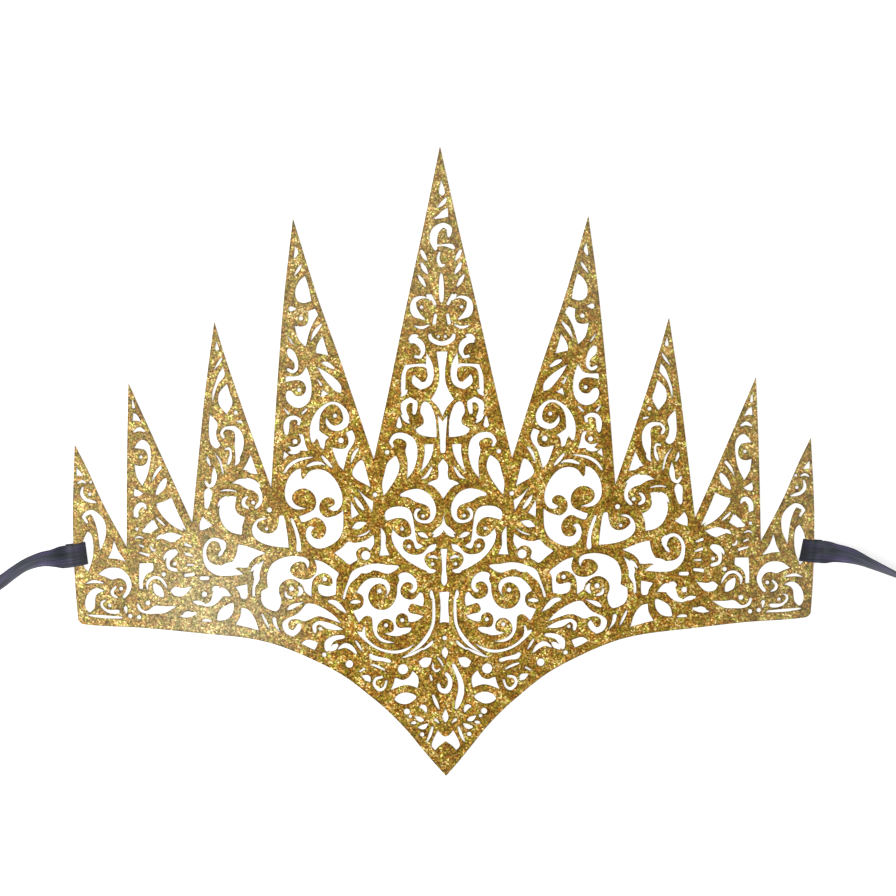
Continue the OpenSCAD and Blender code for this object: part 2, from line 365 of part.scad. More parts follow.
// A point of the cubic that leaves p along m and reaches q along n, at the share t of the way
function cubic(p, q, m, n, t) =
  (2 * t * t * t - 3 * t * t + 1) * p + (t * t * t - 2 * t * t + t) * m
  + (3 * t * t - 2 * t * t * t) * q + (t * t * t - t * t) * n;
// How many straight facets the curve from p to q needs
function facets(p, q, m, n) = max(1, ceil((turn(m, q - p) + turn(q - p, n)) / facet));

// Whether a row of a closed curve is a sharp corner
function corner(p) = len(p) > 2 && p[2] == 1;
// The direction of a closed curve at row i, which is straight to or from its neighbour j at a corner
function way(c, i, j) =
  let (n = len(c))
  corner(c[i]) ? (xy(c[j]) - xy(c[i])) * (j == (i + 1) % n ? 1 : -1)
  : (xy(c[(i + 1) % n]) - xy(c[(i + n - 1) % n])) / 2;
// A closed curve through its rows, cut into straight facets
function closed(c) = [
  for (i = [0 : len(c) - 1])
    let (
      j = (i + 1) % len(c),
      p = xy(c[i]),
      q = xy(c[j]),
      m = way(c, i, j),
      n = way(c, j, i),
      steps = facets(p, q, m, n)
    )
    for (s = [0 : steps - 1]) cubic(p, q, m, n, s / steps)
];

// The direction of an open run of rows at row i
function heading(c, i) = c[min(i + 1, len(c) - 1)] - c[max(i - 1, 0)];
// An open run through its rows, with the widths carried along
function run(c) = [
  for (i = [0 : len(c) - 2])
    let (
      last = i == len(c) - 2,
      m = heading(c, i) * (i == 0 ? 1 : 0.5),
      n = heading(c, i + 1) * (last ? 1 : 0.5),
      steps = facets(xy(c[i]), xy(c[i + 1]), xy(m), xy(n))
    )
    for (s = [0 : steps - (last ? 0 : 1)]) cubic(c[i], c[i + 1], m, n, s / steps)
];
// The point on the left edge of a run at row i, or on its right edge for a side of -1
function edge(r, i, side) =
  let (d = unit(xy(heading(r, i))))
  xy(r[i]) + [-d[1], d[0]] * side * r[i][2] / 2;
// The end of a stroke at row i, where the run goes on along d: a point, a flat end or a round one
function tip(r, i, d) =
  r[i][2] < sharp_w ? [xy(r[i])]
  : r[i][2] < round_w ? []
  : [xy(r[i]) + unit(xy(heading(r, i))) * d * r[i][2] / 2];
// Whether a stroke has two edges at row i: everywhere but at a pointed end
function wide(r, i) = (i > 0 && i < len(r) - 1) || r[i][2] >= sharp_w;
// The outline of a pen cut
function stroke(c) =
  let (r = run(c), n = len(r) - 1)
  concat(
    [for (i = [0 : n]) if (wide(r, i)) edge(r, i, -1)],
    tip(r, n, 1),
    [for (i = [n : -1 : 0]) if (wide(r, i)) edge(r, i, 1)],
    tip(r, 0, -1)
  );

// The whole outline: the drawn half and its mirror image
outline = concat(
  outline_half,
  [for (k = [len(outline_half) - 2 : -1 : 1])
    let (p = outline_half[k]) concat([-p[0], p[1]], corner(p) ? [1] : [])]
);

// The height of the middle of a ribbon that stands on its lower edge at this roll
function lift(roll) = ribbon_w / 2 * sin(roll) + ribbon_t / 2 * cos(roll);
// The places of a ribbon: its tail under the card, the fold in the slot, and its route up to the coil
function places(route, coil) =
  let (u = route[0][0], v = route[0][1], fold_v = v - u * tan(route[0][2]))
  concat(
    [[tail_l, route[1][1], tail_z], [u, v, tail_z], [0, fold_v, (tail_z + top_z) / 2]],
    [for (r = route) [r[0], r[1], max(top_z, lift(r[3]))]],
    [[coil[0] - touch, coil[1], lift(90)]]
  );
// The direction across the ribbon at a row of its route
function width(r) = [-sin(r[2]) * cos(r[3]), cos(r[2]) * cos(r[3]), sin(r[3])];
// The direction across the ribbon at each of those places
function widths(route) = concat(
  [for (r = [route[1], route[0], route[0]]) width(r)],
  [for (r = route) width(r)],
  [[0, 0, 1]]
);
// The four corners of the ribbon's section at place i
function section(p, w, i) =
  let (n = unit(cross(heading(p, i), w[i])) * ribbon_t / 2, s = w[i] * ribbon_w / 2)
  [p[i] + s + n, p[i] - s + n, p[i] - s - n, p[i] + s - n];

// The cuts of one side
module half_cuts() {
  for (c = half_pens) polygon([for (p = stroke(c)) place(p)]);
  for (c = half_windows) polygon([for (p = closed(c)) place(p)]);
  for (d = half_dots) translate(place(d)) circle(d[2], $fn = 24);
}

// The cuts on the middle line
module axis_cuts() {
  for (c = axis_pens) polygon([for (p = stroke(c)) place(p)]);
  for (c = axis_windows) polygon([for (p = closed(c)) place(p)]);
}

// The crown: one sheet of card with every opening cut through
module crown() {
  color("goldenrod")
    translate([0, 0, card_z])
      linear_extrude(card_t)
        difference() {
          polygon([for (p = closed(outline)) place(p)]);
          half_cuts();
          mirror([1, 0]) half_cuts();
          axis_cuts();
        }
}

// From the middle of the crown to where a ribbon dives into its slot
module at_slot() {
  translate([dive_x, tie_y - crown_h / 2]) children();
}

// A ribbon from its stuck tail to the coil, as one strip whose two faces are split along the same diagonals
module strip(route, coil) {
  p = places(route, coil);
  w = widths(route);
  n = len(p);
  polyhedron(
    [for (i = [0 : n - 1]) each section(p, w, i)],
    concat(
      [[0, 1, 2], [0, 2, 3]],
      [for (i = [0 : n - 2], k = [0 : 3])
        let (a = 4 * i + k, b = 4 * i + (k + 1) % 4)
        each k < 2 ? [[a, a + 4, b + 4], [a, b + 4, b]] : [[a, a + 4, b], [b, a + 4, b + 4]]],
      [for (f = [[0, 2, 1], [0, 3, 2]]) f + [1, 1, 1] * 4 * (n - 1)]
    )
  );
}

// The spare ribbon, wound on edge into a round coil
module coil(place) {
  translate([place[0], place[1] + coil_r])
    rotate_extrude($fn = 96)
      translate([coil_r - coil_turns * turn_gap - ribbon_t / 2, 0])
        square([coil_turns * turn_gap + ribbon_t, ribbon_w]);
}

module left_ribbon() {
  color("midnightblue") mirror([1, 0, 0]) at_slot() strip(left_route, left_coil);
}

module left_ribbon_coil() {
  color("midnightblue") mirror([1, 0, 0]) at_slot() coil(left_coil);
}

module right_ribbon() {
  color("midnightblue") at_slot() strip(right_route, right_coil);
}

module right_ribbon_coil() {
  color("midnightblue") at_slot() coil(right_coil);
}

crown();
left_ribbon();
left_ribbon_coil();
right_ribbon();
right_ribbon_coil();
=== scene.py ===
# %% [markdown]
# # A paper crown of gold glitter card
# The real crown is one sheet of glitter card, cut right through as filigree, with a dark satin ribbon
# looped through a slot at each side edge to tie it on. It lies flat on a table, glitter side up. The
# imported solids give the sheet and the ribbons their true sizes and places, and this lesson dresses
# them: woven ribbons, finely rounded cuts, a grain of glitter, and the plain light of a white table.

import math
import random

import bmesh
import bpy
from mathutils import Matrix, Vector, bvhtree, geometry, kdtree


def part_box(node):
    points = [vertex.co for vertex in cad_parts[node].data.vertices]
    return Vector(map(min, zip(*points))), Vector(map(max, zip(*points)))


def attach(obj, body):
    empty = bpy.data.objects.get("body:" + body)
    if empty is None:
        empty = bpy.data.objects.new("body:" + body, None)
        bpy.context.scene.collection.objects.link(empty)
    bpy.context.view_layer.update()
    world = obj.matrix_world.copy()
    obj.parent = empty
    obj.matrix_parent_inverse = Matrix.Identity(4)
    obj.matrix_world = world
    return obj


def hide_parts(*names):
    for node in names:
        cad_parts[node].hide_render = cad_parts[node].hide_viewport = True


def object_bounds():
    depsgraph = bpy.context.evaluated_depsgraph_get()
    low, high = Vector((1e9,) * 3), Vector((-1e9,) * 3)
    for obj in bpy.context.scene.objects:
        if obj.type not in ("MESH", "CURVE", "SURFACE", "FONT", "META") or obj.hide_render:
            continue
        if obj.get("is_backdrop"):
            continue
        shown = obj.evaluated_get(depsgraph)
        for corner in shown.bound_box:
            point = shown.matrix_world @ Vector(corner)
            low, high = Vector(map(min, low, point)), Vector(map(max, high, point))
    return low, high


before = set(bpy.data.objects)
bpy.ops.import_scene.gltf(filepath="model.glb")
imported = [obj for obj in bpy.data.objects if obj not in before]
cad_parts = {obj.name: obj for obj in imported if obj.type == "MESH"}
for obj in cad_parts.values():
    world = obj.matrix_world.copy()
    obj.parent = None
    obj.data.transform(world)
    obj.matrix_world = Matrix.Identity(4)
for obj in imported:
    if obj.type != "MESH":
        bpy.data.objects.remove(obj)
cad_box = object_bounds()
MM = 0.001
card_low, card_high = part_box("crown")
print("solids:", ", ".join(sorted(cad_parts)))

# %% [markdown]
# ## Camera
# A flat sheet shows every cut in its true shape only from straight above. A long lens a metre up keeps
# the raised ribbons from leaning outwards. The sheet was laid down about half a degree out of true, so
# the camera is turned by that much, and not the sheet.

# %% A camera straight above the sheet
VIEW_SIDE = 357.7 * MM
VIEW_MIDDLE = (2.06 * MM, 5.06 * MM)
VIEW_TURN = math.radians(-0.55)
CAMERA_HEIGHT = 1.0
camera_data = bpy.data.cameras.new("camera")
camera_data.sensor_width = 36
camera_data.lens = camera_data.sensor_width * CAMERA_HEIGHT / VIEW_SIDE
camera = bpy.data.objects.new("camera", camera_data)
camera.location = (*VIEW_MIDDLE, card_high.z + CAMERA_HEIGHT)
camera.rotation_euler = (0, 0, VIEW_TURN)
bpy.context.scene.collection.objects.link(camera)
bpy.context.scene.camera = camera
print(f"lens {camera_data.lens:.1f} mm, {VIEW_SIDE / MM:.1f} mm of table across the picture")

# %% [markdown]
# ## Routes of the ribbons
# Each ribbon is a limp band. Its end is turned back under the edge of the crown and stuck to itself.
# From there it lies across the edge, rolls over on to its own edge as it leaves the card, and the spare
# length is wound on edge, as ribbon is put away, beyond the picture. The points are those that the
# solids follow, as metres outwards and up from the slot, with the heading and the roll in degrees.

# %% Points along the ribbons
DIVE = Vector((142.6 * MM, -36.73 * MM, 0))
LEFT_ROUTE = [
    (0.0006, 0.0012, -7, 0), (0.0049, 0.0003, -7, 0), (0.0086, -0.0002, -6, 0), (0.0128, -0.0007, -5, 36),
    (0.0174, -0.0011, -9, 50), (0.0218, -0.0024, -22, 58), (0.0258, -0.0043, -31, 63),
    (0.0302, -0.0073, -36, 63), (0.0348, -0.0107, -36, 62), (0.04, -0.0142, -31, 66),
    (0.046, -0.0171, -21, 73), (0.052, -0.0189, -12, 80), (0.058, -0.0198, -6, 86),
    (0.066, -0.0202, -2, 90), (0.074, -0.0203, 0, 90), (0.082, -0.0203, 0, 90),
]
RIGHT_ROUTE = [
    (0.0006, -0.0003, -12, 0), (0.0049, -0.0008, -7, 0), (0.0086, -0.0011, -6, 0), (0.013, -0.0016, -9, 32),
    (0.0168, -0.0022, -12, 42), (0.0196, -0.0029, -17, 48), (0.0226, -0.004, -21, 57),
    (0.0256, -0.0053, -24, 64), (0.0288, -0.0067, -24, 68), (0.033, -0.0086, -24, 73),
    (0.0384, -0.011, -24, 78), (0.044, -0.0132, -19, 83), (0.05, -0.0148, -12, 87),
    (0.056, -0.0158, -7, 90), (0.062, -0.0163, -3, 90), (0.07, -0.0166, -1, 90),
    (0.078, -0.0167, 0, 90), (0.086, -0.0167, 0, 90),
]
LEFT_COIL = (0.0968, -0.0203)
RIGHT_COIL = (0.0988, -0.0167)
RIBBON_W = 9 * MM
RIBBON_T = 0.3 * MM
TAIL_L = 8 * MM
COIL_R = 49 * MM
COIL_TURNS = 2
TURN_GAP = 4 * MM
tail_z = RIBBON_T / 2
top_z = card_high.z + RIBBON_T / 2


def across(heading, roll):
    """The direction across a ribbon that goes this way and is rolled this far on to its lower edge."""
    h, r = math.radians(heading), math.radians(roll)
    return Vector((-math.sin(h) * math.cos(r), math.cos(h) * math.cos(r), math.sin(r)))


def route_rows(route):
    """The middle of the ribbon and the direction across it, from the slot to the coil."""
    rows = []
    for u, v, heading, roll in route:
        r = math.radians(roll)
        lift = RIBBON_W / 2 * math.sin(r) + RIBBON_T / 2 * math.cos(r)
        rows.append((Vector((u, v, max(top_z, lift))), across(heading, roll)))
    return rows


print(len(LEFT_ROUTE), "points on the left ribbon and", len(RIGHT_ROUTE), "on the right one")

# %% [markdown]
# ## One smooth run for each ribbon
# The rows are joined by a smooth curve in small steps. The loop through the slot is a half circle just
# wide enough for the card, and the coil is a flat spiral whose turns step inwards, worked out by a loop.

# %% The run from the stuck tail to the end of the coil
ROUTE_STEPS = 8
TAIL_STEPS = 4
FOLD_STEPS = 8
COIL_STEPS = 60
# How far from the slot the tail lies flat, in radii of the fold
TAIL_START = 1.4


def between(p, m, q, n, t):
    """A point from p to q on the smooth curve that leaves p along m and reaches q along n."""
    return (
        (2 * t**3 - 3 * t**2 + 1) * p + (t**3 - 2 * t**2 + t) * m
        + (3 * t**2 - 2 * t**3) * q + (t**3 - t**2) * n
    )


def curve(a, b, c, d, t):
    """A point between b and c on the smooth curve through four points."""
    return between(b, (c - a) / 2, c, (d - b) / 2, t)


def fold_rows(route):
    """The tail under the card and the half circle up through the slot."""
    u, v, heading, _ = route[0]
    side, next_side = across(heading, 0), across(route[1][2], 0)
    slope = math.tan(math.radians(heading))
    radius = (top_z - tail_z) / 2
    rows = []
    tail_end, tail_start = Vector((TAIL_L, route[1][1], tail_z)), Vector((radius * TAIL_START, v, tail_z))
    for k in range(TAIL_STEPS + 1):
        t = k / TAIL_STEPS
        rows.append((tail_end.lerp(tail_start, t), next_side.lerp(side, t)))
    for k in range(FOLD_STEPS + 1):
        a = math.pi * (k / FOLD_STEPS - 0.5)
        out = radius * (1 - math.cos(a))
        height = (tail_z + top_z) / 2 + radius * math.sin(a)
        rows.append((Vector((out, v + (out - u) * slope, height)), side))
    return rows


def coil_rows(coil):
    """The spiral of the wound spare ribbon, from its lowest point round and inwards."""
    rows = []
    for k in range(COIL_TURNS * COIL_STEPS + 1):
        a = 2 * math.pi * k / COIL_STEPS
        radius = COIL_R - TURN_GAP * k / COIL_STEPS
        out, up = coil[0] + radius * math.sin(a), coil[1] + COIL_R - radius * math.cos(a)
        rows.append((Vector((out, up, RIBBON_W / 2)), Vector((0, 0, 1))))
    return rows


def ribbon_run(route, coil):
    """Every row of a ribbon: its tail, its fold, its route in small steps, and its coil."""
    start, wound = fold_rows(route), coil_rows(coil)
    knots = [start[-1]] + route_rows(route)[1:] + [wound[0]]
    rows = list(start)
    for i in range(len(knots) - 1):
        four = [knots[max(i - 1, 0)], knots[i], knots[i + 1], (knots + [wound[2]])[i + 2]]
        for k in range(1, ROUTE_STEPS + 1):
            t = k / ROUTE_STEPS
            rows.append(tuple(curve(*[row[n] for row in four], t) for n in (0, 1)))
    rows += wound[1:]
    return [(middle, side.normalized()) for middle, side in rows]


def run_length(points):
    """The length of a line through these points."""
    return sum((b - a).length for a, b in zip(points, points[1:]))


runs = {"left": ribbon_run(LEFT_ROUTE, LEFT_COIL), "right": ribbon_run(RIGHT_ROUTE, RIGHT_COIL)}
for name, rows in runs.items():
    print(f"{name} ribbon: {len(rows)} rows, {run_length([m for m, s in rows]):.3f} m")

# %% [markdown]
# ## Weaving the bands
# A band could be a curve with a bevel, but then it can't roll and cup as cloth does. Here one row of
# points across the band is extruded from place to place, and the thin sheet is then given its
# thickness. The band is a little cupped, with a firmer edge where the weft turns back. Its own map
# keeps the metres along it and across it, for the weave.

# %% Ribbon bands
BAND_STEPS = 12
CUP = 0.35 * MM
SATIN_T = 0.8 * RIBBON_T
# Rows that lie flat on the card, and the rows after them over which the band cups
FLAT_ROWS = 14
CUPPING_ROWS = 24
SIDE_SIGN = {"left": -1, "right": 1}


def band_point(rows, i, s):
    """A point on the band at row i, where s runs from -1 to 1 across it."""
    middle, side = rows[i]
    ahead = rows[min(i + 1, len(rows) - 1)][0] - rows[max(i - 1, 0)][0]
    up = ahead.cross(side).normalized()
    free = min(1, max(0, (i - FLAT_ROWS) / CUPPING_ROWS))
    return middle + side * (s * RIBBON_W / 2) + up * (CUP * free * (1 - s * s))


def band(name, rows):
    """A ribbon from its stuck tail to the end of its coil."""
    shape = bmesh.new()
    marks = shape.verts.layers.float_vector.new("along_across")
    places = [2 * k / BAND_STEPS - 1 for k in range(BAND_STEPS + 1)]
    line = [shape.verts.new(band_point(rows, 0, s)) for s in places]
    edges = [shape.edges.new(pair) for pair in zip(line, line[1:])]
    gone = 0
    for vert, s in zip(line, places):
        vert[marks] = (0, s * RIBBON_W / 2, 0)
    for i in range(1, len(rows)):
        made = bmesh.ops.extrude_edge_only(shape, edges=edges)["geom"]
        gone += (rows[i][0] - rows[i - 1][0]).length
        new = {}
        for vert in [g for g in made if isinstance(g, bmesh.types.BMVert)]:
            k = round((vert[marks][1] / RIBBON_W + 0.5) * BAND_STEPS)
            new[k] = vert
        for k, s in enumerate(places):
            new[k].co = band_point(rows, i, s)
            new[k][marks] = (gone, s * RIBBON_W / 2, 0)
        edges = [shape.edges.get((new[k], new[k + 1])) for k in range(BAND_STEPS)]
    bmesh.ops.solidify(shape, geom=shape.faces[:], thickness=SATIN_T)
    sheet = shape.loops.layers.uv.new("weave")
    for face in shape.faces:
        for loop in face.loops:
            loop[sheet].uv = loop.vert[marks][:2]
    for vert in shape.verts:
        vert.co = Vector((vert.co.x * SIDE_SIGN[name], vert.co.y, vert.co.z))
        vert.co += Vector((DIVE.x * SIDE_SIGN[name], DIVE.y, 0))
    bmesh.ops.recalc_face_normals(shape, faces=shape.faces)
    mesh = bpy.data.meshes.new(f"{name}_satin_ribbon")
    shape.to_mesh(mesh)
    shape.free()
    piece = bpy.data.objects.new(mesh.name, mesh)
    bpy.context.scene.collection.objects.link(piece)
    return piece


def in_frame(name, point):
    """A place of a run in the shared frame."""
    sign = SIDE_SIGN[name]
    return Vector(((DIVE.x + point.x) * sign, DIVE.y + point.y, point.z))


bands = {name: band(name, rows) for name, rows in runs.items()}
for name, piece in bands.items():
    print(piece.name, len(piece.data.polygons), "faces")

# %% [markdown]
# ## Ties on the coils
# A coil of springy satin opens unless something holds it. A narrow band of the same ribbon goes round
# both turns at the outer side. A box with two of its faces taken away, its long edges rounded and its
# wall given a thickness, is that band.

# %% Bands that hold the coils
TIE_W = 3 * MM
TIE_T = 0.3 * MM
TIE_ROOM = 0.7 * MM
TIE_ROUND = 1.2 * MM
tie_reach = (COIL_TURNS - 1) * TURN_GAP + 2 * TIE_ROOM
tie_radius = COIL_R - TURN_GAP / 4 - (COIL_TURNS - 1) * TURN_GAP / 2


def coil_tie(name, coil):
    """The band round the turns of one coil, at the coil's outer side."""
    shape = bmesh.new()
    bmesh.ops.create_cube(shape, size=1)
    ends = [face for face in shape.faces if abs(face.normal.y) > 0.5]
    bmesh.ops.delete(shape, geom=ends, context="FACES_ONLY")
    bmesh.ops.scale(shape, verts=shape.verts, vec=(tie_reach, TIE_W, RIBBON_W + TIE_T))
    along = [edge for edge in shape.edges if abs((edge.verts[0].co - edge.verts[1].co).y) > TIE_W / 2]
    bmesh.ops.bevel(
        shape, geom=along, offset=TIE_ROUND, offset_type="OFFSET",
        affect="EDGES", segments=4, profile=0.5, material=-1,
    )
    bmesh.ops.recalc_face_normals(shape, faces=shape.faces)
    bmesh.ops.solidify(shape, geom=shape.faces[:], thickness=TIE_T)
    sheet = shape.loops.layers.uv.new("weave")
    for face in shape.faces:
        for loop in face.loops:
            loop[sheet].uv = (loop.vert.co.x + loop.vert.co.z, loop.vert.co.y)
    middle = in_frame(name, Vector((coil[0] + tie_radius, coil[1] + COIL_R, RIBBON_W / 2 + TIE_T / 2)))
    bmesh.ops.translate(shape, verts=shape.verts, vec=middle)
    mesh = bpy.data.meshes.new(f"{name}_coil_tie")
    shape.to_mesh(mesh)
    shape.free()
    piece = bpy.data.objects.new(mesh.name, mesh)
    bpy.context.scene.collection.objects.link(piece)
    return piece


ties = {"left": coil_tie("left", LEFT_COIL), "right": coil_tie("right", RIGHT_COIL)}
for name, piece in bands.items():
    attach(piece, "root")
    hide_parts(f"{name}_ribbon", f"{name}_ribbon_coil")
    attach(ties[name], "root")

# %% [markdown]
# ## Nodes for the finishes
# Every finish is a small web of nodes. One function starts a material, and one adds a node, sets what it
# is told and links what it is given. The third turns a screen colour, as a maker would read it off a
# shade card, into the linear light that the renderer works in.

# %% Three helpers for materials


def linear(shade):
    """A screen colour such as #c8a032, as linear red, green, blue and alpha."""
    parts = [int(shade[k:k + 2], 16) / 255 for k in (1, 3, 5)]
    return tuple(c / 12.92 if c <= 0.04045 else ((c + 0.055) / 1.055) ** 2.4 for c in parts) + (1,)


def add(tree, kind, inputs=None, **settings):
    """Adds a node. An input that is another node's output is linked, and any other value is set."""
    node = tree.nodes.new(kind)
    for name, value in settings.items():
        setattr(node, name, value)
    for name, value in (inputs or {}).items():
        if isinstance(value, bpy.types.NodeSocket):
            tree.links.new(value, node.inputs[name])
        else:
            node.inputs[name].default_value = value
    return node


def start_material(name):
    """A new material, with its node tree and its surface shader."""
    material = bpy.data.materials.new(name)
    material.use_nodes = True
    return material, material.node_tree, material.node_tree.nodes["Principled BSDF"]


print("helpers:", linear.__name__, add.__name__, start_material.__name__)

# %% [markdown]
# ## Satin
# The ribbon is double-faced polyester satin, woven with long floats so that the warp lies along the
# band. That gives the eye a soft sheen and fine lengthwise lines. Its colour is a little darker along
# both edges, and a slate blue with soft patches of painted violet sheen. Real warp threads are about
# 0.1 mm apart, too fine to show at this distance, so the lines are drawn five times as coarse. Where the
# ribbon is folded through the slot a dark painted shade is put in its colour, and further out painted
# glints lighten it, more so as it turns on to its edge.

# %% Woven satin
WARP = 0.5 * MM
WARP_FLOAT = 40 * WARP
WARP_SHADES = (0.55, 1.4)
# One thread up and one thread down make a wave
WEFT = 0.6 * MM
WEFT_SCALE = 1 / (6.28 * WEFT)
# The colour is darker over this width along both edges, down to this share
EDGE_W = 0.7 * MM
EDGE_SHADE = 0.55
# Soft patches of slate and of painted violet sheen, as long and as wide as this
SHADE_L = 14 * MM
SHADE_W = 5 * MM
SHADE_SHIFT = -0.75
# Over this length from the tail the colour takes painted shade at the fold and painted glints further out, by
# the factors below
FOLD_LIGHT_L = 30 * MM
SLATE_AND_VIOLET_SHEEN = ((0.32, "#292b34"), (0.45, "#373b45"), (0.57, "#403d54"), (0.7, "#4d4868"))
FOLD_SHADE_AND_GLINTS = (
    (0.04, 0.2), (0.1, 0.35), (0.15, 0.75), (0.2, 0.6), (0.24, 1.1),
    (0.3, 0.75), (0.45, 0.95), (0.6, 1.3), (0.85, 1.6),
)


def woven_satin():
    """Slate blue polyester satin."""
    material, tree, shader = start_material("woven_polyester_satin")
    weave = add(tree, "ShaderNodeUVMap", uv_map="weave").outputs["UV"]
    split = add(tree, "ShaderNodeSeparateXYZ", {"Vector": weave})
    along, side = split.outputs["X"], split.outputs["Y"]
    warp = add(tree, "ShaderNodeTexNoise", {
        "Vector": add(tree, "ShaderNodeMapping", {
            "Vector": weave, "Scale": (1 / WARP_FLOAT, 1 / WARP, 1)
        }).outputs["Vector"],
        "Scale": 1.0, "Detail": 2.0,
    }, noise_dimensions="2D").outputs["Fac"]
    shade = add(tree, "ShaderNodeTexNoise", {
        "Vector": add(tree, "ShaderNodeMapping", {
            "Vector": weave, "Location": (SHADE_SHIFT, 0, 0), "Scale": (1 / SHADE_L, 1 / SHADE_W, 1)
        }).outputs["Vector"],
        "Scale": 1.0, "Detail": 1.0,
    }, noise_dimensions="2D").outputs["Fac"]
    fold = add(tree, "ShaderNodeMapRange", {
        "Value": along, "From Min": TAIL_L, "From Max": TAIL_L + FOLD_LIGHT_L
    }).outputs["Result"]
    # Slate, with a painted violet sheen in soft patches
    tint = add(tree, "ShaderNodeValToRGB", {"Fac": shade})
    # Painted shade at the fold through the slot, and painted glints further along the ribbon
    fold_light = add(tree, "ShaderNodeValToRGB", {"Fac": fold})
    for ramp, stops in (
        (tint, [(at, linear(colour)) for at, colour in SLATE_AND_VIOLET_SHEEN]),
        (fold_light, [(at, (grey, grey, grey, 1)) for at, grey in FOLD_SHADE_AND_GLINTS]),
    ):
        ends = ramp.color_ramp.elements
        for end, (at, colour) in zip(ends, (stops[0], stops[-1])):
            end.position, end.color = at, colour
        for at, colour in stops[1:-1]:
            ends.new(at).color = colour
    lines = add(tree, "ShaderNodeMapRange", {
        "Value": warp, "From Min": 0.3, "From Max": 0.7, "To Min": WARP_SHADES[0], "To Max": WARP_SHADES[1]
    }).outputs["Result"]
    edge = add(tree, "ShaderNodeMapRange", {
        "Value": add(tree, "ShaderNodeMath", {0: side}, operation="ABSOLUTE").outputs[0],
        "From Min": RIBBON_W / 2 - EDGE_W, "From Max": RIBBON_W / 2, "To Min": 1.0, "To Max": EDGE_SHADE,
    }).outputs["Result"]
    dim = lines
    for part in (edge, fold_light.outputs["Color"]):
        dim = add(tree, "ShaderNodeMath", {0: dim, 1: part}, operation="MULTIPLY").outputs[0]
    colour = add(tree, "ShaderNodeVectorMath", {0: tint.outputs["Color"], "Scale": dim}, operation="SCALE")
    tree.links.new(colour.outputs["Vector"], shader.inputs["Base Color"])
    weft = add(tree, "ShaderNodeTexWave", {
        "Vector": weave, "Scale": WEFT_SCALE, "Distortion": 0.6
    }, bands_direction="X").outputs["Fac"]
    relief = add(tree, "ShaderNodeMath", {0: warp, 1: weft}, operation="MULTIPLY").outputs[0]
    bump = add(tree, "ShaderNodeBump", {"Height": relief, "Strength": 0.25, "Distance": 0.1 * MM})
    tree.links.new(bump.outputs["Normal"], shader.inputs["Normal"])
    shader.inputs["Roughness"].default_value = 0.42
    shader.inputs["Specular IOR Level"].default_value = 0.2
    shader.inputs["Sheen Weight"].default_value = 0.1
    shader.inputs["Sheen Roughness"].default_value = 0.4
    return material


satin = woven_satin()
for piece in list(bands.values()) + list(ties.values()):
    piece.data.materials.append(satin)
print("finish:", satin.name)

# %% [markdown]
# ## Outlines of the cuts
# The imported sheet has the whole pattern, in straight facets. The knife went round in smooth curves, so
# the rims of the openings are taken from a merged copy of the solid and drawn again as curves through
# the same points. A point stays a corner where the rim turns sharply there.

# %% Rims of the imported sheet
WELD = 0.002 * MM
# Degrees and millimetres from one drawn point to the next
RIM_TURN = 8
RIM_STEP = 1.4
# Degrees of a turn that is always a corner, and of one that is a corner between sides as long as this
SHARP_TURN = 95
SQUARE_TURN = 60
SQUARE_SIDE = 2.5
# Degrees from which a curve is drawn tighter, and over which it gets as tight as it may
EASE_FROM = 32
EASE_OVER = 18
EASE_LEAST = 0.3


def cut_rims(node):
    """The closed rims on the upper face of the sheet, in millimetres."""
    shape = bmesh.new()
    shape.from_mesh(node.data)
    bmesh.ops.remove_doubles(shape, verts=shape.verts, dist=WELD)
    low = [face for face in shape.faces if face.normal.z < 0.5]
    bmesh.ops.delete(shape, geom=low, context="FACES")
    ahead = {}
    for edge in shape.edges:
        if edge.is_boundary:
            loop = edge.link_loops[0]
            ahead[loop.vert.index] = loop.link_loop_next.vert.index
    spots = {vert.index: vert.co.xy / MM for vert in shape.verts}
    rims = []
    while ahead:
        start, here = ahead.popitem()
        rim = [spots[start]]
        while here != start:
            rim.append(spots[here])
            here = ahead.pop(here)
        rims.append(rim)
    shape.free()
    return rims


def bend(a, b):
    """The angle between two directions, in degrees."""
    return math.degrees(a.angle(b, 0))


def is_corner(rim, i):
    """Whether a rim has a sharp corner at point i."""
    before, after = rim[i] - rim[i - 1], rim[(i + 1) % len(rim)] - rim[i]
    turn = bend(before, after)
    return turn > SHARP_TURN or (turn > SQUARE_TURN and min(before.length, after.length) > SQUARE_SIDE)


def leave(rim, i, chord):
    """The direction of the curve at point i, for the stretch along this chord."""
    if is_corner(rim, i):
        return chord.copy()
    way = (rim[(i + 1) % len(rim)] - rim[i - 1]).normalized()
    ease = min(1, max(EASE_LEAST, 1 - (1 - EASE_LEAST) * (bend(way, chord) - EASE_FROM) / EASE_OVER))
    return way * chord.length * ease


def rounded(rim):
    """A rim as a smooth curve through its points."""
    drawn = []
    for i, p in enumerate(rim):
        q = rim[(i + 1) % len(rim)]
        chord = q - p
        m, n = leave(rim, i, chord), leave(rim, (i + 1) % len(rim), chord)
        turn = bend(m, chord) + bend(chord, n)
        steps = max(1, math.ceil(turn / RIM_TURN), math.ceil(chord.length / RIM_STEP))
        drawn += [between(p, m, q, n, k / steps) for k in range(steps)]
    return drawn


packed_rims = cut_rims(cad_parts["crown"])
rims = [rounded(rim) for rim in packed_rims]
print(len(rims), "rims,", sum(map(len, packed_rims)), "points drawn as", sum(map(len, rims)))

# %% [markdown]
# ## Fine piercings
# Between the main cuts the knife made many nicks and dots about a millimetre wide, which soften the
# filigree, and in places it trimmed the rim of a main cut a little wider. All are listed as pen
# strokes, with the place across and up from the lower point and the width of the cut in millimetres,
# and as dots with a radius. One half is listed and mirrored. A stroke that overlaps a cut joins it.

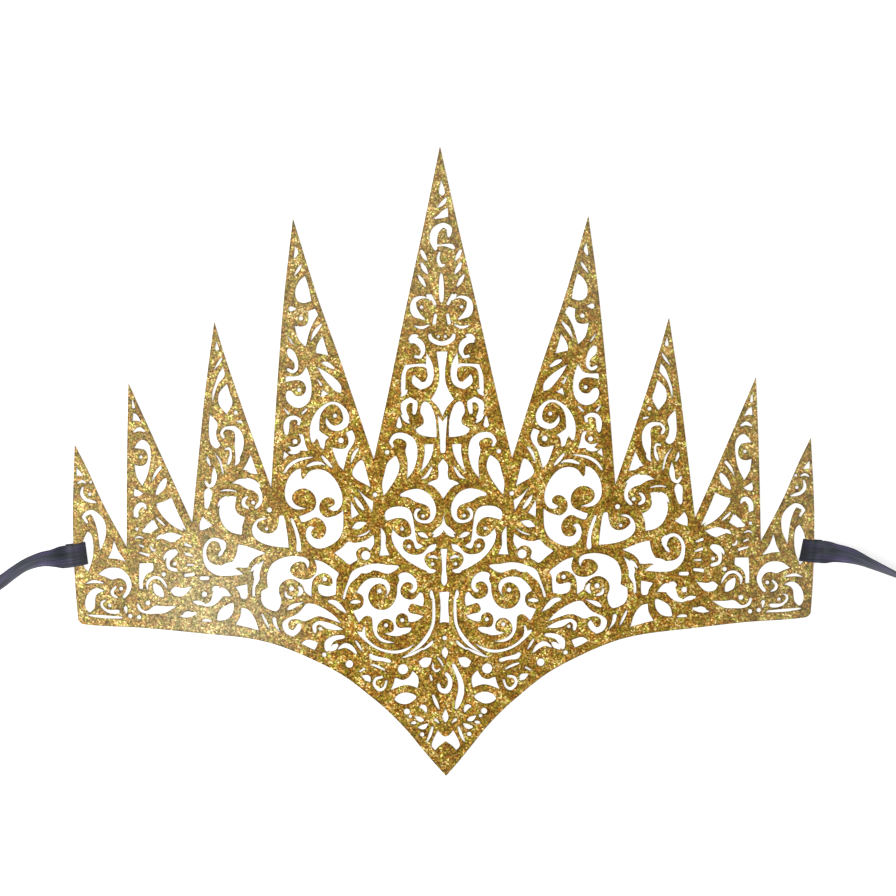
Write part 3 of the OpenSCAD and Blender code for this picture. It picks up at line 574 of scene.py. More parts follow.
# %% Strokes and dots of the fine knife
SIDE_PENS = [
    # Side panel
    [(131.2, 76.6, 0.9), (132.6, 75, 1.2), (132.2, 73.4, 1.2), (130.3, 72.3, 0.6)],
    [(143.6, 77.9, 0), (140, 78.9, 1.2), (135.8, 78.2, 0.4)], [(127.3, 68.2, 1.6), (127, 65.8, 0.4)],
    [(142.6, 65.5, 0.6), (136, 64.8, 1.2), (129, 64.4, 0.8)],
    [
        (118.4, 75.2, 0.5), (118.5, 78, 1.2), (116.2, 80.2, 1.1), (113.4, 79.8, 1.2),
        (111.4, 77.4, 1), (110.6, 75.4, 0),
    ],
    [(103.2, 93.4, 1.2), (100.4, 92.4, 0.6)], [(103, 89.6, 1.2), (100, 88.6, 0.6)],
    [(102.4, 85.2, 0.9), (99.6, 85.2, 0.5)], [(103.2, 81, 1.4), (100, 81.4, 1.2)],
    [(123.4, 95.8, 0.5), (121.8, 96.6, 0.7), (119.8, 95.9, 0.5)], [(122, 93.5, 0.6), (120, 92.6, 0.8)],
    [(122, 90.4, 0.5), (118, 89.2, 1.2)], [(117, 92.6, 0.8), (116.4, 91.3, 0.9), (115, 91.1, 0.6)],
    # First and second spikes
    [(145.8, 118.3, 0.7), (144.4, 119, 1), (143, 118.4, 0.7)],
    [(144, 116.4, 0.8), (144.4, 114, 1.4), (143, 111.8, 1.3), (140.6, 110.9, 1.2), (138.4, 110.4, 0.4)],
    [(123.8, 151.4, 0.5), (123.4, 148.4, 1.2)],
    [(123.3, 138.6, 0.8), (121.2, 139.6, 1.5), (119.2, 138.7, 0.8)],
    [(112.9, 124.2, 1.2), (114.8, 121.8, 1.2), (116.6, 118.2, 0)],
    # Third spike
    [(90, 174.6, 0), (89.8, 171.4, 1.6)], [(87.8, 168, 0.6), (89.4, 165.4, 1), (91.4, 162.6, 0)],
    [(82.4, 142.4, 0.5), (80.4, 142, 1)],
    [(86.8, 131.3, 0.8), (85.2, 131.4, 1), (84.7, 129.4, 0.9), (85.2, 127, 1.4), (86, 124.8, 0.6)],
    [(94.2, 128.8, 0), (93.8, 126.8, 1.2), (92.8, 124.4, 0.4)],
    [(91.6, 130, 0), (89.2, 126.8, 0.8), (87.7, 121, 0.6)],
    [(78, 112.3, 0.6), (79.6, 111, 1.4), (79.8, 109, 1.5), (78.2, 107.8, 1)],
    [(89.2, 114.5, 0.4), (86, 114.9, 0.7), (82.4, 114.3, 0.4)], [(97, 79.8, 1.6), (94.4, 79.8, 1.4)],
    [(97, 62.8, 0.6), (95, 63, 1.2), (92.8, 62.6, 0.5)],
    # Fourth spike
    [(58.2, 212.2, 0), (57.8, 209.6, 1.6), (58.6, 207.2, 0.6)],
    [(55.8, 204.7, 0.6), (57.2, 202.5, 1.2), (59, 199.8, 0)], [(60, 187, 2.2), (57.8, 187, 0)],
    [(48.2, 180.6, 0.8), (50.6, 177.6, 1.6), (52.4, 174, 0)],
    [(61.8, 176.5, 0), (60.2, 174, 0.7), (59, 172.6, 0)],
    [(48, 165.6, 0.4), (46, 164.8, 1.8), (43.4, 163.2, 1)], [(49.9, 159, 0.4), (48.4, 156.6, 1)],
    [(63.4, 147.4, 0.4), (61.6, 145.3, 1)], [(56, 145.2, 0.8), (54.4, 146.8, 0.8)],
    [(34, 130.8, 0.8), (35.6, 128.6, 1.2), (36.8, 125.2, 0.4)],
    [(63.4, 121.8, 0.8), (61.2, 124.6, 1.2), (57.6, 126.7, 1.1), (51.8, 127.8, 0.4)],
    [(54.2, 124.2, 0.8), (51.4, 125.2, 1.4), (48.6, 125.2, 0.9), (47, 124.4, 0.3)],
    [(48.2, 128, 0.8), (46.4, 125.8, 1.4), (44.2, 123.4, 0.6)],
    # Round panels
    [(58.2, 76.4, 0.6), (57.2, 74.2, 1.8), (58.6, 72.2, 0.6)],
    [(63.4, 74.4, 0.6), (63, 72.4, 1.2), (61, 71.6, 0.9)],
    [(62.8, 66.8, 0.6), (60.6, 68.2, 1.8), (56.2, 69.9, 0)],
    [(73, 65.6, 0.6), (71.6, 62.6, 1.1), (70, 59.4, 0.5)],
    [(68, 63.2, 1.6), (67.4, 60.6, 1.2), (65.4, 57.6, 0)],
    [(42.7, 50.9, 0.5), (40, 52.4, 1.8), (37.4, 51.4, 1.9), (35.1, 48.8, 0.6)],
    [(35.6, 54.4, 0.6), (34.4, 52.4, 1), (33, 50.2, 0.4)],
    # Beside the middle line
    [(7.8, 209.6, 1.2), (6.8, 207.6, 1.6), (5.6, 205.6, 0.4)],
    [(7.8, 204.6, 1), (6.8, 202.6, 1.8), (5.2, 200.2, 0.4)],
    [(9, 199.8, 0.8), (7.8, 197.8, 1.6), (6.2, 195.2, 0.6)], [(4.4, 192, 1), (2.6, 188.4, 1.2)],
    [(11, 179.8, 0.5), (8, 179, 1.2), (4.8, 180.2, 0.5)], [(3, 180.8, 1.4), (2.4, 184, 1.2)],
    [(17.4, 143, 0.8), (17.4, 140, 2.2)], [(8.8, 118.6, 0.3), (6.6, 119.8, 1.2), (4.6, 123, 0.8)],
    [(35.5, 111.8, 0.6), (33.8, 109, 1.6), (32.1, 106.8, 1)],
    [(34.6, 95.9, 0.4), (31.6, 96.8, 0.7), (29.2, 98.4, 0.3)],
    [(10, 96.8, 0.8), (8.4, 96.3, 1.9), (6.2, 95, 0.5)],
    [(2.4, 86.6, 0.5), (4.2, 87.6, 1.1), (6.2, 87.2, 0.4)],
    # Lower medallion
    [(31.9, 60, 0.5), (32.4, 57.6, 1.2), (32, 56, 1)],
    [(37.2, 69.6, 0.8), (35.6, 69.8, 1.6), (33.8, 69.8, 0.8)],
    [(4.6, 54, 0.6), (6, 52.4, 1.2), (9, 50.2, 0.5)],
    # Lower point
    [
        (25.2, 39.6, 0.9), (27.6, 39, 1.1), (28.3, 36.8, 1.2), (26.4, 34.6, 1.3),
        (24.4, 35.4, 1), (23.4, 38, 0.8),
    ],
    [(29.8, 44.8, 0.6), (27, 43.9, 1), (23.8, 42.3, 0.6)], [(34, 42, 0.7), (32.2, 43, 0.8)],
    [(32.6, 40, 1.2), (31, 39.2, 2.6), (30.2, 38.2, 1)],
    [(10.4, 27.6, 0.6), (8.6, 27.4, 2), (7.6, 25.2, 0.5)],
    [(11.8, 23.6, 0.8), (10.2, 22.6, 2), (8.6, 22.2, 0.6)],
    [(10.4, 19.4, 1), (8.8, 19.6, 2), (7.4, 20.6, 0.8)],
    [(5.2, 19.4, 0.8), (6.2, 16.4, 1.2), (7.6, 13.4, 0.5)], [(2.4, 21, 0.4), (4, 22.4, 1.2)],
    # Side panel, rims trimmed
    [(114.7, 109.1, 0.6), (111, 105.1, 2.3), (107.5, 101.6, 2), (104.3, 99.2, 0.8)],
    [(111.2, 100.8, 0.5), (113, 102.5, 1), (114.9, 104.3, 0.5)],
    [(116.5, 102.8, 0.8), (116.7, 101.2, 2.8), (118.6, 99.3, 2.4), (120.5, 98.9, 0.6)],
    [(118.9, 107.9, 0.8), (119.6, 109.1, 1.6), (121.2, 109.2, 2), (122.6, 107.4, 2.2), (123.3, 105, 1)],
    [(106.8, 91.3, 0.5), (109.5, 90.2, 1.7), (111.3, 88.6, 1.3), (111.9, 87.2, 0.5)],
    [(112.3, 97.5, 0.4), (113.6, 96.4, 1.4), (114.9, 95.5, 0.4)],
    [(101, 66.3, 0.4), (102.7, 66, 1.3), (104.4, 65.7, 0.4)],
    # Third spike and its foot, rims trimmed
    [(72.8, 116.1, 0.4), (75.7, 118, 1.7), (78.8, 119.7, 0.4)],
    [(74, 121.3, 0.3), (76.2, 121.9, 1.1), (78.4, 122.5, 0.3)],
    [(83.2, 124.7, 0.4), (82.1, 126.1, 1.4), (81.1, 127.6, 0.4)],
    [(86.3, 112.6, 0.4), (88.6, 110.6, 1.6), (90.2, 108.2, 0.4)],
    [(95.6, 69.5, 0.6), (98, 70, 1.8), (100.6, 70.5, 0.5)],
    [(90.2, 76.2, 0.8), (91.5, 75.6, 2.2), (92.9, 75, 0.6)],
    [(74.3, 85.6, 0.4), (75.9, 83.8, 1.3), (77.4, 82, 0.4)],
    [(84.4, 86, 0.4), (86.5, 85.2, 1.4), (88.7, 84.7, 0.4)],
    [(86.9, 92.6, 0.4), (87.8, 93.9, 1.3), (88.8, 95.2, 0.4)],
    [(88.4, 90.8, 1), (89.1, 89.7, 1.5), (89.9, 88.7, 0.8)],
    [(57, 130, 0.5), (59.4, 129.8, 1.7), (61.8, 129.6, 0.5)],
    # Round panels, rims trimmed
    [(42.6, 53, 0.6), (44.2, 51.7, 2.3), (45.8, 50.3, 0.8)],
    [(20.8, 83.8, 0.4), (26.4, 84.1, 1.8), (31, 83.8, 1.2), (33, 83.3, 0.3)],
    [(28.4, 82.5, 0.4), (30.8, 81.9, 1.5), (33.2, 81.4, 0.4)],
    # Tall spike, rims trimmed
    [(7, 182.4, 0.8), (9.5, 184.2, 2), (10.9, 186.8, 2.1), (10.6, 189.6, 0.8)],
    [(4.5, 190.2, 0.8), (5.2, 191.4, 1.4), (5.9, 192.4, 0.6)],
    [(9.4, 175.9, 0.6), (11.5, 175.4, 2), (12.9, 174.4, 1)],
    [(5, 161.3, 0.9), (5.8, 163.1, 1.2), (7.4, 163.9, 1.1), (9.4, 164.1, 0.9)],
    [(5.5, 159.4, 0.8), (6.4, 157.3, 0.9), (7.9, 156.8, 0.9), (9.1, 157.2, 0.9)],
    [(8.2, 156.4, 0.6), (9.5, 157.4, 1.7), (10.6, 158.9, 0.8)],
    [(10.9, 149.2, 1.8), (11, 147.2, 2), (11.3, 145, 1.4)],
    [(13.2, 140.8, 0.5), (14.9, 142.5, 1.6), (16.2, 144, 0.8)],
    [(13.9, 154.3, 0.4), (15.2, 153.1, 1.8), (16.3, 151.9, 0.8)],
    # Middle star, V and medallion, rims trimmed
    [(2, 117.6, 1.6), (4.2, 116.9, 1.8), (6.2, 116.6, 0.5)],
    [(0.6, 97.7, 0.8), (2.5, 96.6, 1.8), (4.4, 95.3, 0.5)], [(3.2, 82, 0.5), (5, 81.7, 1.7), (7, 81.6, 0.6)],
    [(5, 70.6, 0.5), (5.1, 72.5, 1.5), (5.2, 74.2, 0.6)],
    [(13.2, 59, 0.5), (15.2, 58.2, 2.3), (18.6, 57.6, 2.6)],
    [(8.4, 51.1, 0.5), (12.7, 48.9, 1.1), (17.2, 47.2, 0.5)],
    [(11.6, 21.3, 0.6), (12.6, 21.3, 1.3), (13.9, 21, 0.5)],
]
SIDE_DOTS = [
    # Side panel
    (129, 76, 0.8), (133.6, 69.3, 0.7), (125.5, 65, 0.9), (122, 64.5, 0.9), (118.4, 70.1, 1),
    (107.5, 85.7, 0.8), (112, 81.5, 0.9), (122.5, 99.7, 0.7),
    # First and second spikes
    (141.2, 113.8, 0.7), (120.6, 128.4, 0.7), (140.8, 118.6, 0.6),
    # Third spike
    (82.6, 145.8, 0.8), (76, 109.8, 0.8),
    # Fourth spike
    (56.2, 183.2, 0.9), (57.2, 154.6, 0.8), (59, 134, 1), (43, 144.2, 0.8),
    # Round panels
    (70.7, 99.3, 0.7), (69.5, 106.8, 1), (61, 75.3, 1), (47.7, 79, 0.9), (48.2, 48.8, 0.9), (49.6, 59.2, 0.7),
    # Beside the middle line
    (22.3, 129.4, 0.9), (27.3, 112.5, 0.9), (8.2, 103.8, 0.7), (13.9, 91.7, 0.8), (16.6, 98.7, 0.7),
    (4.6, 84.6, 0.7), (8, 187.2, 0.7),
    # Lower medallion
    (25.9, 74, 0.9), (16.9, 62.3, 0.8), (23.4, 60.3, 0.8),
    # Lower point
    (14, 23.9, 0.7), (9.4, 16.6, 0.9),
]
MIDDLE_PENS = [
    [(2.2, 230.6, 0.8), (1, 228.8, 1.6), (-1.4, 226.8, 0.4)],
    [(-0.6, 209, 0.8), (-1.2, 206.4, 1.2), (-0.2, 203.8, 1.4), (1.2, 204, 0.8)],
    [(-4.8, 32, 1), (-3.6, 29, 1.4), (-2.4, 26.4, 0.4)], [(-6, 40.6, 0.6), (-5.4, 38.4, 1)],
    [(-4.7, 45, 0.6), (-4.8, 43.2, 0.9), (-3.5, 41.8, 0.9), (-2.1, 42.6, 0.7)],
    [(-3, 47.4, 0.6), (-1.6, 45.6, 0.8), (-0.6, 43.4, 0.4)],
]
MIDDLE_DOTS = [
    (-1.4, 175.4, 0.6), (1.4, 175.4, 0.6), (0, 55, 0.9),
]

# %% [markdown]
# ## Drawing a stroke
# A stroke follows a smooth line through its points, and its two edges lie half the width to each side.
# Where the width runs out the cut ends in a point, and elsewhere it ends round, as a blade that is
# turned in the card leaves it.

# %% From strokes to rims
CROWN_H = 251.6
STROKE_STEPS = 5
TIP_STEPS = 6
DOT_STEPS = 16
# An end narrower than this is a point, and no stroke is narrower than the blade
POINTED = 0.65
BLADE = 0.05


def stroke_rim(stroke):
    """The rim of one pen stroke."""
    rows = [Vector(row) for row in stroke]
    fine = []
    for i in range(len(rows) - 1):
        four = [rows[max(i - 1, 0)], rows[i], rows[i + 1], rows[min(i + 2, len(rows) - 1)]]
        fine += [curve(*four, k / STROKE_STEPS) for k in range(STROKE_STEPS)]
    fine.append(rows[-1])
    left, right = [], []
    for i, row in enumerate(fine):
        way = (fine[min(i + 1, len(fine) - 1)] - fine[max(i - 1, 0)]).xy.normalized()
        side = Vector((-way.y, way.x)) * max(row.z, BLADE) / 2
        end = -1 if i == 0 else (1 if i == len(fine) - 1 else 0)
        if end and row.z < POINTED:
            left.append(row.xy)
            continue
        if end:
            turns = (math.pi * k / TIP_STEPS for k in range(TIP_STEPS + 1))
            tip = [row.xy + side * math.cos(a) + way * end * side.length * math.sin(a) for a in turns]
            left += tip if end > 0 else tip[::-1]
            continue
        left.append(row.xy + side)
        right.append(row.xy - side)
    return left + right[::-1]


def dot_rim(x, y, radius):
    """The rim of one round dot."""
    turns = (2 * math.pi * k / DOT_STEPS for k in range(DOT_STEPS))
    return [Vector((x + radius * math.cos(a), y + radius * math.sin(a))) for a in turns]


def on_sheet(rim, sign=1):
    """A drawn rim, or its mirror image, at its place on the sheet."""
    return [Vector((p.x * sign, p.y - CROWN_H / 2)) for p in rim]


side_rims = [stroke_rim(stroke) for stroke in SIDE_PENS] + [dot_rim(*dot) for dot in SIDE_DOTS]
middle_rims = [stroke_rim(stroke) for stroke in MIDDLE_PENS] + [dot_rim(*dot) for dot in MIDDLE_DOTS]
fine_rims = [on_sheet(rim, sign) for rim in side_rims for sign in (1, -1)]
fine_rims += [on_sheet(rim) for rim in middle_rims]
print(len(fine_rims), "fine piercings")

# %% [markdown]
# ## The sheet
# A sheet with hundreds of openings has no simple starting shape, and filling it by hand would leave
# long slivers. A constrained triangulation takes every rim at once, and the triangles that belong to
# the outline alone are the card. The back is filled from the rims only. The front also takes scattered
# points, a grain of glitter apart, each a hair higher or lower, so that the glitter is real relief.

# %% Filling the sheet between its rims
# Grains of glitter, in millimetres: from one to the next, from row to row, how far each rises or sinks,
# the room that they leave along a rim, and half the width of the field they are laid out in
GRAIN = 0.85
GRAIN_ROWS = 0.866 * GRAIN
GRAIN_RELIEF = 0.07
RIM_ROOM = 0.42
FIELD_HALF = 150
# How far a grain strays from its place, as a share of the distance to the next
GRAIN_STRAY = 0.3
random.seed(21)


def area(rim):
    """Twice the signed area inside a rim."""
    return sum(p.cross(q) for p, q in zip(rim, rim[1:] + rim[:1]))


def fill(all_rims, extra):
    """Points and triangles of the card between the rims. The first rim is the outline."""
    points, faces = [], []
    for rim in all_rims:
        faces.append(list(range(len(points), len(points) + len(rim))))
        points += rim if area(rim) > 0 else rim[::-1]
    points += extra
    spots, _, tris, _, _, owners = geometry.delaunay_2d_cdt(points, [], faces, 1, 1e-5, True)
    return spots, [tri for tri, owner in zip(tris, owners) if owner == [0]]


def grains(spots, tris):
    """Scattered places on the card for the grain of the glitter, clear of the rims."""
    sheet = bvhtree.BVHTree.FromPolygons([(p.x, p.y, 0) for p in spots], tris)
    near = kdtree.KDTree(len(spots))
    for i, p in enumerate(spots):
        near.insert((p.x, p.y, 0), i)
    near.balance()
    found, row, y = [], 0, -CROWN_H / 2
    while y < CROWN_H / 2:
        x = -FIELD_HALF + (row % 2) * GRAIN / 2
        while x < FIELD_HALF:
            stray_x, stray_y = (random.uniform(-GRAIN_STRAY, GRAIN_STRAY) * GRAIN for _ in range(2))
            p = Vector((x + stray_x, y + stray_y, 0))
            inside = sheet.ray_cast(p + Vector((0, 0, 1)), Vector((0, 0, -1)))[0]
            if inside and near.find(p)[2] > RIM_ROOM:
                found.append(p.xy)
            x += GRAIN
        y += GRAIN_ROWS
        row += 1
    return found


all_rims = sorted(rims, key=lambda rim: -abs(area(rim))) + fine_rims
back_spots, back_tris = fill(all_rims, [])
front_spots, front_tris = fill(all_rims, grains(back_spots, back_tris))
print(len(back_tris), "triangles on the back and", len(front_tris), "on the glitter side")

# %% The card from front to back
GLITTER, CORE, BACK = 0, 1, 2


def cap(shape, spots, tris, z, relief, facing, finish):
    """One face of the card, as points and triangles in a shape."""
    made = [shape.verts.new((p.x * MM, p.y * MM, z + relief(p))) for p in spots]
    for tri in tris:
        face = shape.faces.new([made[k] for k in tri[::facing]])
        face.material_index = finish


def glitter_card():
    """The crown: a back, its walls raised from the back's rims, and the glitter side welded on."""
    shape = bmesh.new()
    painted_rim_shade = shape.verts.layers.float.new("rim")
    cap(shape, back_spots, back_tris, card_low.z, lambda p: 0, -1, BACK)
    bmesh.ops.delete(shape, geom=[v for v in shape.verts if not v.link_faces], context="VERTS")
    rim = [edge for edge in shape.edges if edge.is_boundary]
    walls = bmesh.ops.extrude_edge_only(shape, edges=rim)["geom"]
    raised = [g for g in walls if isinstance(g, bmesh.types.BMVert)]
    for face in [g for g in walls if isinstance(g, bmesh.types.BMFace)]:
        face.material_index = CORE
    bmesh.ops.translate(shape, verts=raised, vec=(0, 0, card_high.z - card_low.z))
    on_rim = {(round(v.co.x / MM, 3), round(v.co.y / MM, 3)) for v in raised}

    def relief(p):
        if (round(p.x, 3), round(p.y, 3)) in on_rim:
            return 0
        return random.uniform(-1, 1) * GRAIN_RELIEF * MM

    cap(shape, front_spots, front_tris, card_high.z, relief, 1, GLITTER)
    bmesh.ops.delete(shape, geom=[v for v in shape.verts if not v.link_faces], context="VERTS")
    bmesh.ops.remove_doubles(shape, verts=shape.verts, dist=WELD)
    bmesh.ops.recalc_face_normals(shape, faces=shape.faces)
    for vert in shape.verts:
        # Marks the rims of the cuts, for the painted shade along them
        vert[painted_rim_shade] = any(face.material_index == CORE for face in vert.link_faces)
    print(sum(edge.is_boundary or not edge.is_manifold for edge in shape.edges), "open edges")
    mesh = bpy.data.meshes.new("glitter_card_crown")
    shape.to_mesh(mesh)
    shape.free()
    piece = bpy.data.objects.new(mesh.name, mesh)
    bpy.context.scene.collection.objects.link(piece)
    return piece


crown = glitter_card()
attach(crown, "root")
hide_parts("crown")
print(crown.name, sum(len(p.vertices) - 2 for p in crown.data.polygons), "triangles")

# %% [markdown]
# ## Glitter
# Glitter card is paper with hexagonal flakes of metallised polyester film glued to it in a random lie.
# To the eye that is a crowd of small facets, each a mirror with its own tilt. Each flake's normal is
# tilted, and its brightness is also painted into its colour, so neighbours run from a painted deep brown
# through old gold to a painted pale flash, and the tint wanders a little between copper and olive.
# Real flakes are about 0.2 mm across, finer than a pixel here, so they are drawn as coarse as they show.
# The film's colour is painted a little paler towards the outer spikes, and at one place low on the left
# it carries a painted pale glare. The rims of the cuts carry a painted dark shade.

# %% Glitter side of the card
FLAKE = 0.55 * MM
CLUMP = 7 * MM
CLUMP_SHARE = 1.4
PATCH = 2.4 * MM
TILT = 0.6
# How dark the painted shade along the rims of the cuts is
RIM_SHADE = 0.5
# Flake colours, from painted dark shade through old gold to a painted pale flash
GOLD_SHADE_AND_FLASH = (
    (0.0, "#5c4100"), (0.16, "#6c4f07"), (0.36, "#7e6012"), (0.56, "#8f7124"),
    (0.76, "#9f8236"), (0.9, "#b49a55"), (1.0, "#dccb98"),
)
TINTS = ((0.36, "#ffdba2"), (0.43, "#ffebd2"), (0.5, "#fffaf2"), (0.57, "#f8fddc"), (0.64, "#ecffa6"))
PALE_FILM = "#cfd6ba"
# Each pale place: its middle, a near and a far distance, and how pale the film is at each of them; the one
# low on the left is painted glare
PALE_AND_GLARE_PLACES = (
    ((22 * MM, -40 * MM, 0), 70 * MM, 130 * MM, 0.0, 0.09),
    ((-85 * MM, -56 * MM, 0), 8 * MM, 48 * MM, 0.13, 0.0),
)


def glitter_film():
    """Flakes of gold film on card."""
    material, tree, shader = start_material("gold_polyester_glitter")
    place = add(tree, "ShaderNodeTexCoord").outputs["Object"]
    flakes = add(tree, "ShaderNodeTexVoronoi", {"Vector": place, "Scale": 1 / FLAKE}, voronoi_dimensions="2D")
    lie = add(tree, "ShaderNodeSeparateColor", {"Color": flakes.outputs["Color"]})
    wander = add(tree, "ShaderNodeTexNoise", {
        "Vector": place, "Scale": 1 / PATCH, "Detail": 2.0
    }, noise_dimensions="2D")
    clumps = add(tree, "ShaderNodeTexNoise", {
        "Vector": place, "Scale": 1 / CLUMP, "Detail": 4.0, "Roughness": 0.6
    }, noise_dimensions="2D")
    lift = add(tree, "ShaderNodeMath", {
        0: clumps.outputs["Fac"], 1: CLUMP_SHARE, 2: -CLUMP_SHARE / 2
    }, operation="MULTIPLY_ADD").outputs[0]
    height = add(tree, "ShaderNodeMath", {0: lift, 1: lie.outputs["Red"]}, operation="ADD").outputs[0]
    ramps = []
    for stops, level in ((GOLD_SHADE_AND_FLASH, height), (TINTS, wander.outputs["Fac"])):
        ramp = add(tree, "ShaderNodeValToRGB", {"Fac": level})
        ends = ramp.color_ramp.elements
        for end, (at, shade) in zip(ends, (stops[0], stops[-1])):
            end.position, end.color = at, linear(shade)
        for at, shade in stops[1:-1]:
            ends.new(at).color = linear(shade)
        ramps.append(ramp.outputs["Color"])
    whole = add(tree, "ShaderNodeVectorMath", {0: ramps[0], 1: ramps[1]}, operation="MULTIPLY")
    pale_and_glare_masks = []
    for middle, near, far, at_near, at_far in PALE_AND_GLARE_PLACES:
        away = add(tree, "ShaderNodeVectorMath", {0: place, 1: middle}, operation="DISTANCE")
        pale_and_glare_masks.append(add(tree, "ShaderNodeMapRange", {
            "Value": away.outputs["Value"],
            "From Min": near, "From Max": far, "To Min": at_near, "To Max": at_far,
        }, interpolation_type="SMOOTHSTEP").outputs["Result"])
    # Paler towards the outer spikes, and a painted pale glare low on the left
    paled_film = add(tree, "ShaderNodeMix", {
        0: add(tree, "ShaderNodeMath", {0: pale_and_glare_masks[0], 1: pale_and_glare_masks[1]}, operation="ADD").outputs[0],
        6: whole.outputs["Vector"], 7: linear(PALE_FILM),
    }, data_type="RGBA").outputs[2]
    # Painted dark shade along the rims of the cuts
    rim = add(tree, "ShaderNodeAttribute", attribute_name="rim").outputs["Fac"]
    painted_rim_shade = add(tree, "ShaderNodeMapRange", {"Value": rim, "To Min": 1.0, "To Max": RIM_SHADE})
    colour = add(tree, "ShaderNodeVectorMath", {
        0: paled_film, "Scale": painted_rim_shade.outputs["Result"]
    }, operation="SCALE")
    tree.links.new(colour.outputs["Vector"], shader.inputs["Base Color"])
    lean = add(tree, "ShaderNodeCombineXYZ", {
        "X": add(tree, "ShaderNodeMath", {0: lie.outputs["Green"], 1: 0.5}, operation="SUBTRACT").outputs[0],
        "Y": add(tree, "ShaderNodeMath", {0: lie.outputs["Blue"], 1: 0.5}, operation="SUBTRACT").outputs[0],
    })
    flat = add(tree, "ShaderNodeNewGeometry").outputs["Normal"]
    tilted = add(tree, "ShaderNodeVectorMath", {
        0: lean.outputs["Vector"], 1: (TILT, TILT, TILT), 2: flat
    }, operation="MULTIPLY_ADD")
    facing = add(tree, "ShaderNodeVectorMath", {0: tilted.outputs["Vector"]}, operation="NORMALIZE")
    tree.links.new(facing.outputs["Vector"], shader.inputs["Normal"])
    shader.inputs["Metallic"].default_value = 0.75
    shader.inputs["Roughness"].default_value = 0.32
    return material


glitter = glitter_film()
print("finish:", glitter.name)

# %% [markdown]
# ## Card
# Under the glitter is plain pulp board. Its cut edge is fibrous and takes some gold dust from the
# knife, and its back is uncoated, off-white and faintly mottled. Both are the same recipe with other
# colours: soft fibres from a stretched noise, matt, with a little relief.

# %% Cut edge and back of the card
FIBRE = 0.5 * MM
FIBRE_STRETCH = 0.25


def pulp_board(name, dark, light):
    """Uncoated card between two shades."""
    material, tree, shader = start_material(name)
    place = add(tree, "ShaderNodeTexCoord").outputs["Object"]
    stretched = add(tree, "ShaderNodeMapping", {"Vector": place, "Scale": (1, FIBRE_STRETCH, 1)})
    fibres = add(tree, "ShaderNodeTexNoise", {
        "Vector": stretched.outputs["Vector"], "Scale": 1 / FIBRE, "Detail": 5.0
    }).outputs["Fac"]
    shade = add(tree, "ShaderNodeValToRGB", {"Fac": fibres})
    for end, at, colour in zip(shade.color_ramp.elements, (0.35, 0.65), (dark, light)):
        end.position, end.color = at, linear(colour)
    tree.links.new(shade.outputs["Color"], shader.inputs["Base Color"])
    bump = add(tree, "ShaderNodeBump", {"Height": fibres, "Strength": 0.3, "Distance": 0.05 * MM})
    tree.links.new(bump.outputs["Normal"], shader.inputs["Normal"])
    shader.inputs["Roughness"].default_value = 0.85
    return material


edge_card = pulp_board("cut_edge_of_pulp_board", "#8d7a4c", "#b8a671")
back_card = pulp_board("back_of_pulp_board", "#e4dfd2", "#f2eee4")
for finish in (glitter, edge_card, back_card):
    crown.data.materials.append(finish)
print("finishes:", ", ".join(m.name for m in crown.data.materials))

# %% [markdown]
# ## Table and light
# The crown is shown on a plain white table in a bright room, under a wide soft lamp overhead. A second
# lamp on the left makes the flakes sparkle, and a small one low at the lower left adds a faint glow
# there. The table is a wide plane a hair below the ribbons. It takes the shadow of the crown, and a
# little added light for the camera alone brings it up to white.

# %% White table
TABLE_SIDE = 6.0
TABLE_GAP = 0.1 * MM


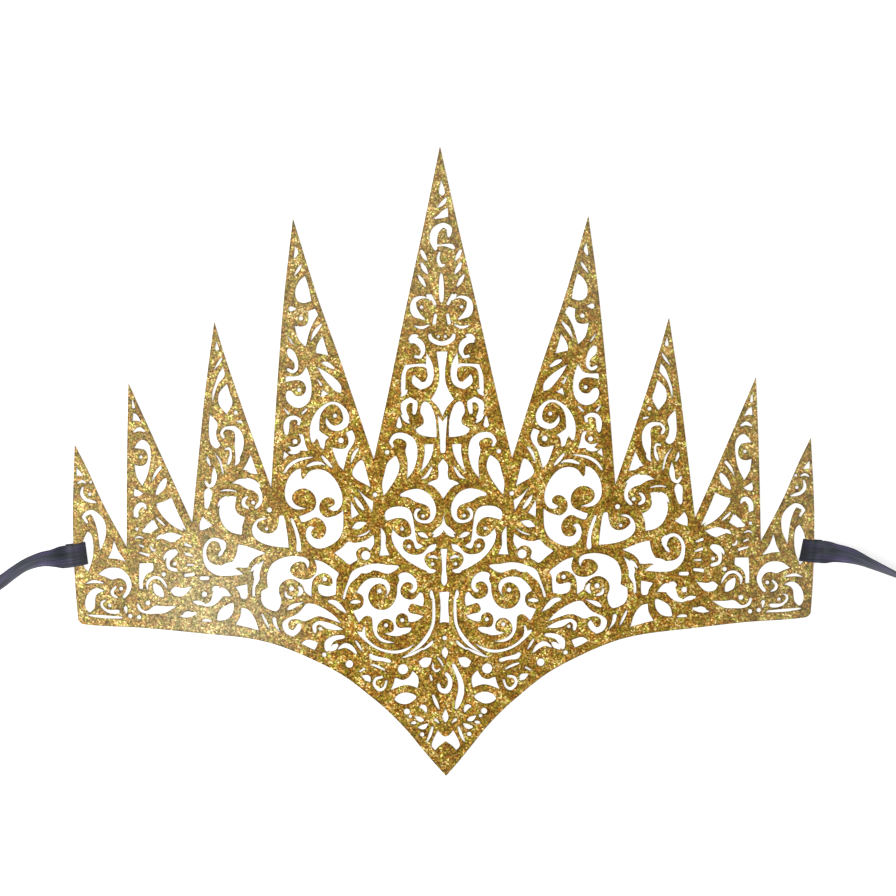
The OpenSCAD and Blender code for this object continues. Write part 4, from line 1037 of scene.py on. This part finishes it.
def white_table():
    """The plain table that the crown lies on."""
    shape = bmesh.new()
    bmesh.ops.create_grid(shape, x_segments=1, y_segments=1, size=TABLE_SIDE / 2)
    bmesh.ops.translate(shape, verts=shape.verts, vec=(0, 0, -TABLE_GAP))
    mesh = bpy.data.meshes.new("table")
    shape.to_mesh(mesh)
    shape.free()
    table = bpy.data.objects.new("table", mesh)
    bpy.context.scene.collection.objects.link(table)
    material, tree, shader = start_material("matt_white_laminate")
    shader.inputs["Base Color"].default_value = linear("#f0f0f0")
    shader.inputs["Roughness"].default_value = 0.9
    shader.inputs["Specular IOR Level"].default_value = 0.1
    shader.inputs["Emission Color"].default_value = linear("#b8b8b8")
    seen = add(tree, "ShaderNodeLightPath").outputs["Is Camera Ray"]
    tree.links.new(seen, shader.inputs["Emission Strength"])
    mesh.materials.append(material)
    return table


white_table()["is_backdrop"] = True
print(f"table: {TABLE_SIDE:.0f} m square")

# %% Lamps and surroundings
ROOM_LIGHT = 0.55
SHEET_MIDDLE = (0, 0, 0)


def lamp(name, place, aim, side, watts):
    """A square soft lamp that looks at a point."""
    data = bpy.data.lights.new(name, "AREA")
    data.size = side
    data.energy = watts
    item = bpy.data.objects.new(name, data)
    item.location = place
    item.rotation_euler = (Vector(aim) - Vector(place)).to_track_quat("-Z", "Y").to_euler()
    bpy.context.scene.collection.objects.link(item)
    return item


lamp("overhead_lamp", (0.1, 0.5, 1.5), SHEET_MIDDLE, 0.9, 4.5)
lamp("left_lamp", (-0.5, -0.1, 0.7), SHEET_MIDDLE, 0.5, 2.8)
lamp("low_lamp", (-0.24, -0.2, 0.16), (-0.08, -0.04, 0), 0.12, 0.05)
world = bpy.data.worlds.new("white_room")
world.use_nodes = True
bpy.context.scene.world = world
path_kind = add(world.node_tree, "ShaderNodeLightPath").outputs
seen = add(world.node_tree, "ShaderNodeMath", {
    0: add(world.node_tree, "ShaderNodeMath", {
        0: path_kind["Is Camera Ray"], 1: path_kind["Is Glossy Ray"]
    }, operation="MAXIMUM").outputs[0],
    1: path_kind["Is Transmission Ray"],
}, operation="MAXIMUM").outputs[0]
level = add(world.node_tree, "ShaderNodeMapRange", {"Value": seen, "To Min": ROOM_LIGHT, "To Max": 1.0})
surround = world.node_tree.nodes["Background"]
surround.inputs["Color"].default_value = (1, 1, 1, 1)
world.node_tree.links.new(level.outputs["Result"], surround.inputs["Strength"])
bpy.context.scene.view_settings.view_transform = "Standard"

# %% [markdown]
# ## Last checks
# The dressed crown must stay the size of its solids, so both boxes are written down side by side.

# %% Sizes, and the end
visual_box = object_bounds()
for name, box in (("solids", cad_box), ("dressed", visual_box)):
    print(name, [[round(v / MM, 2) for v in corner] for corner in box])
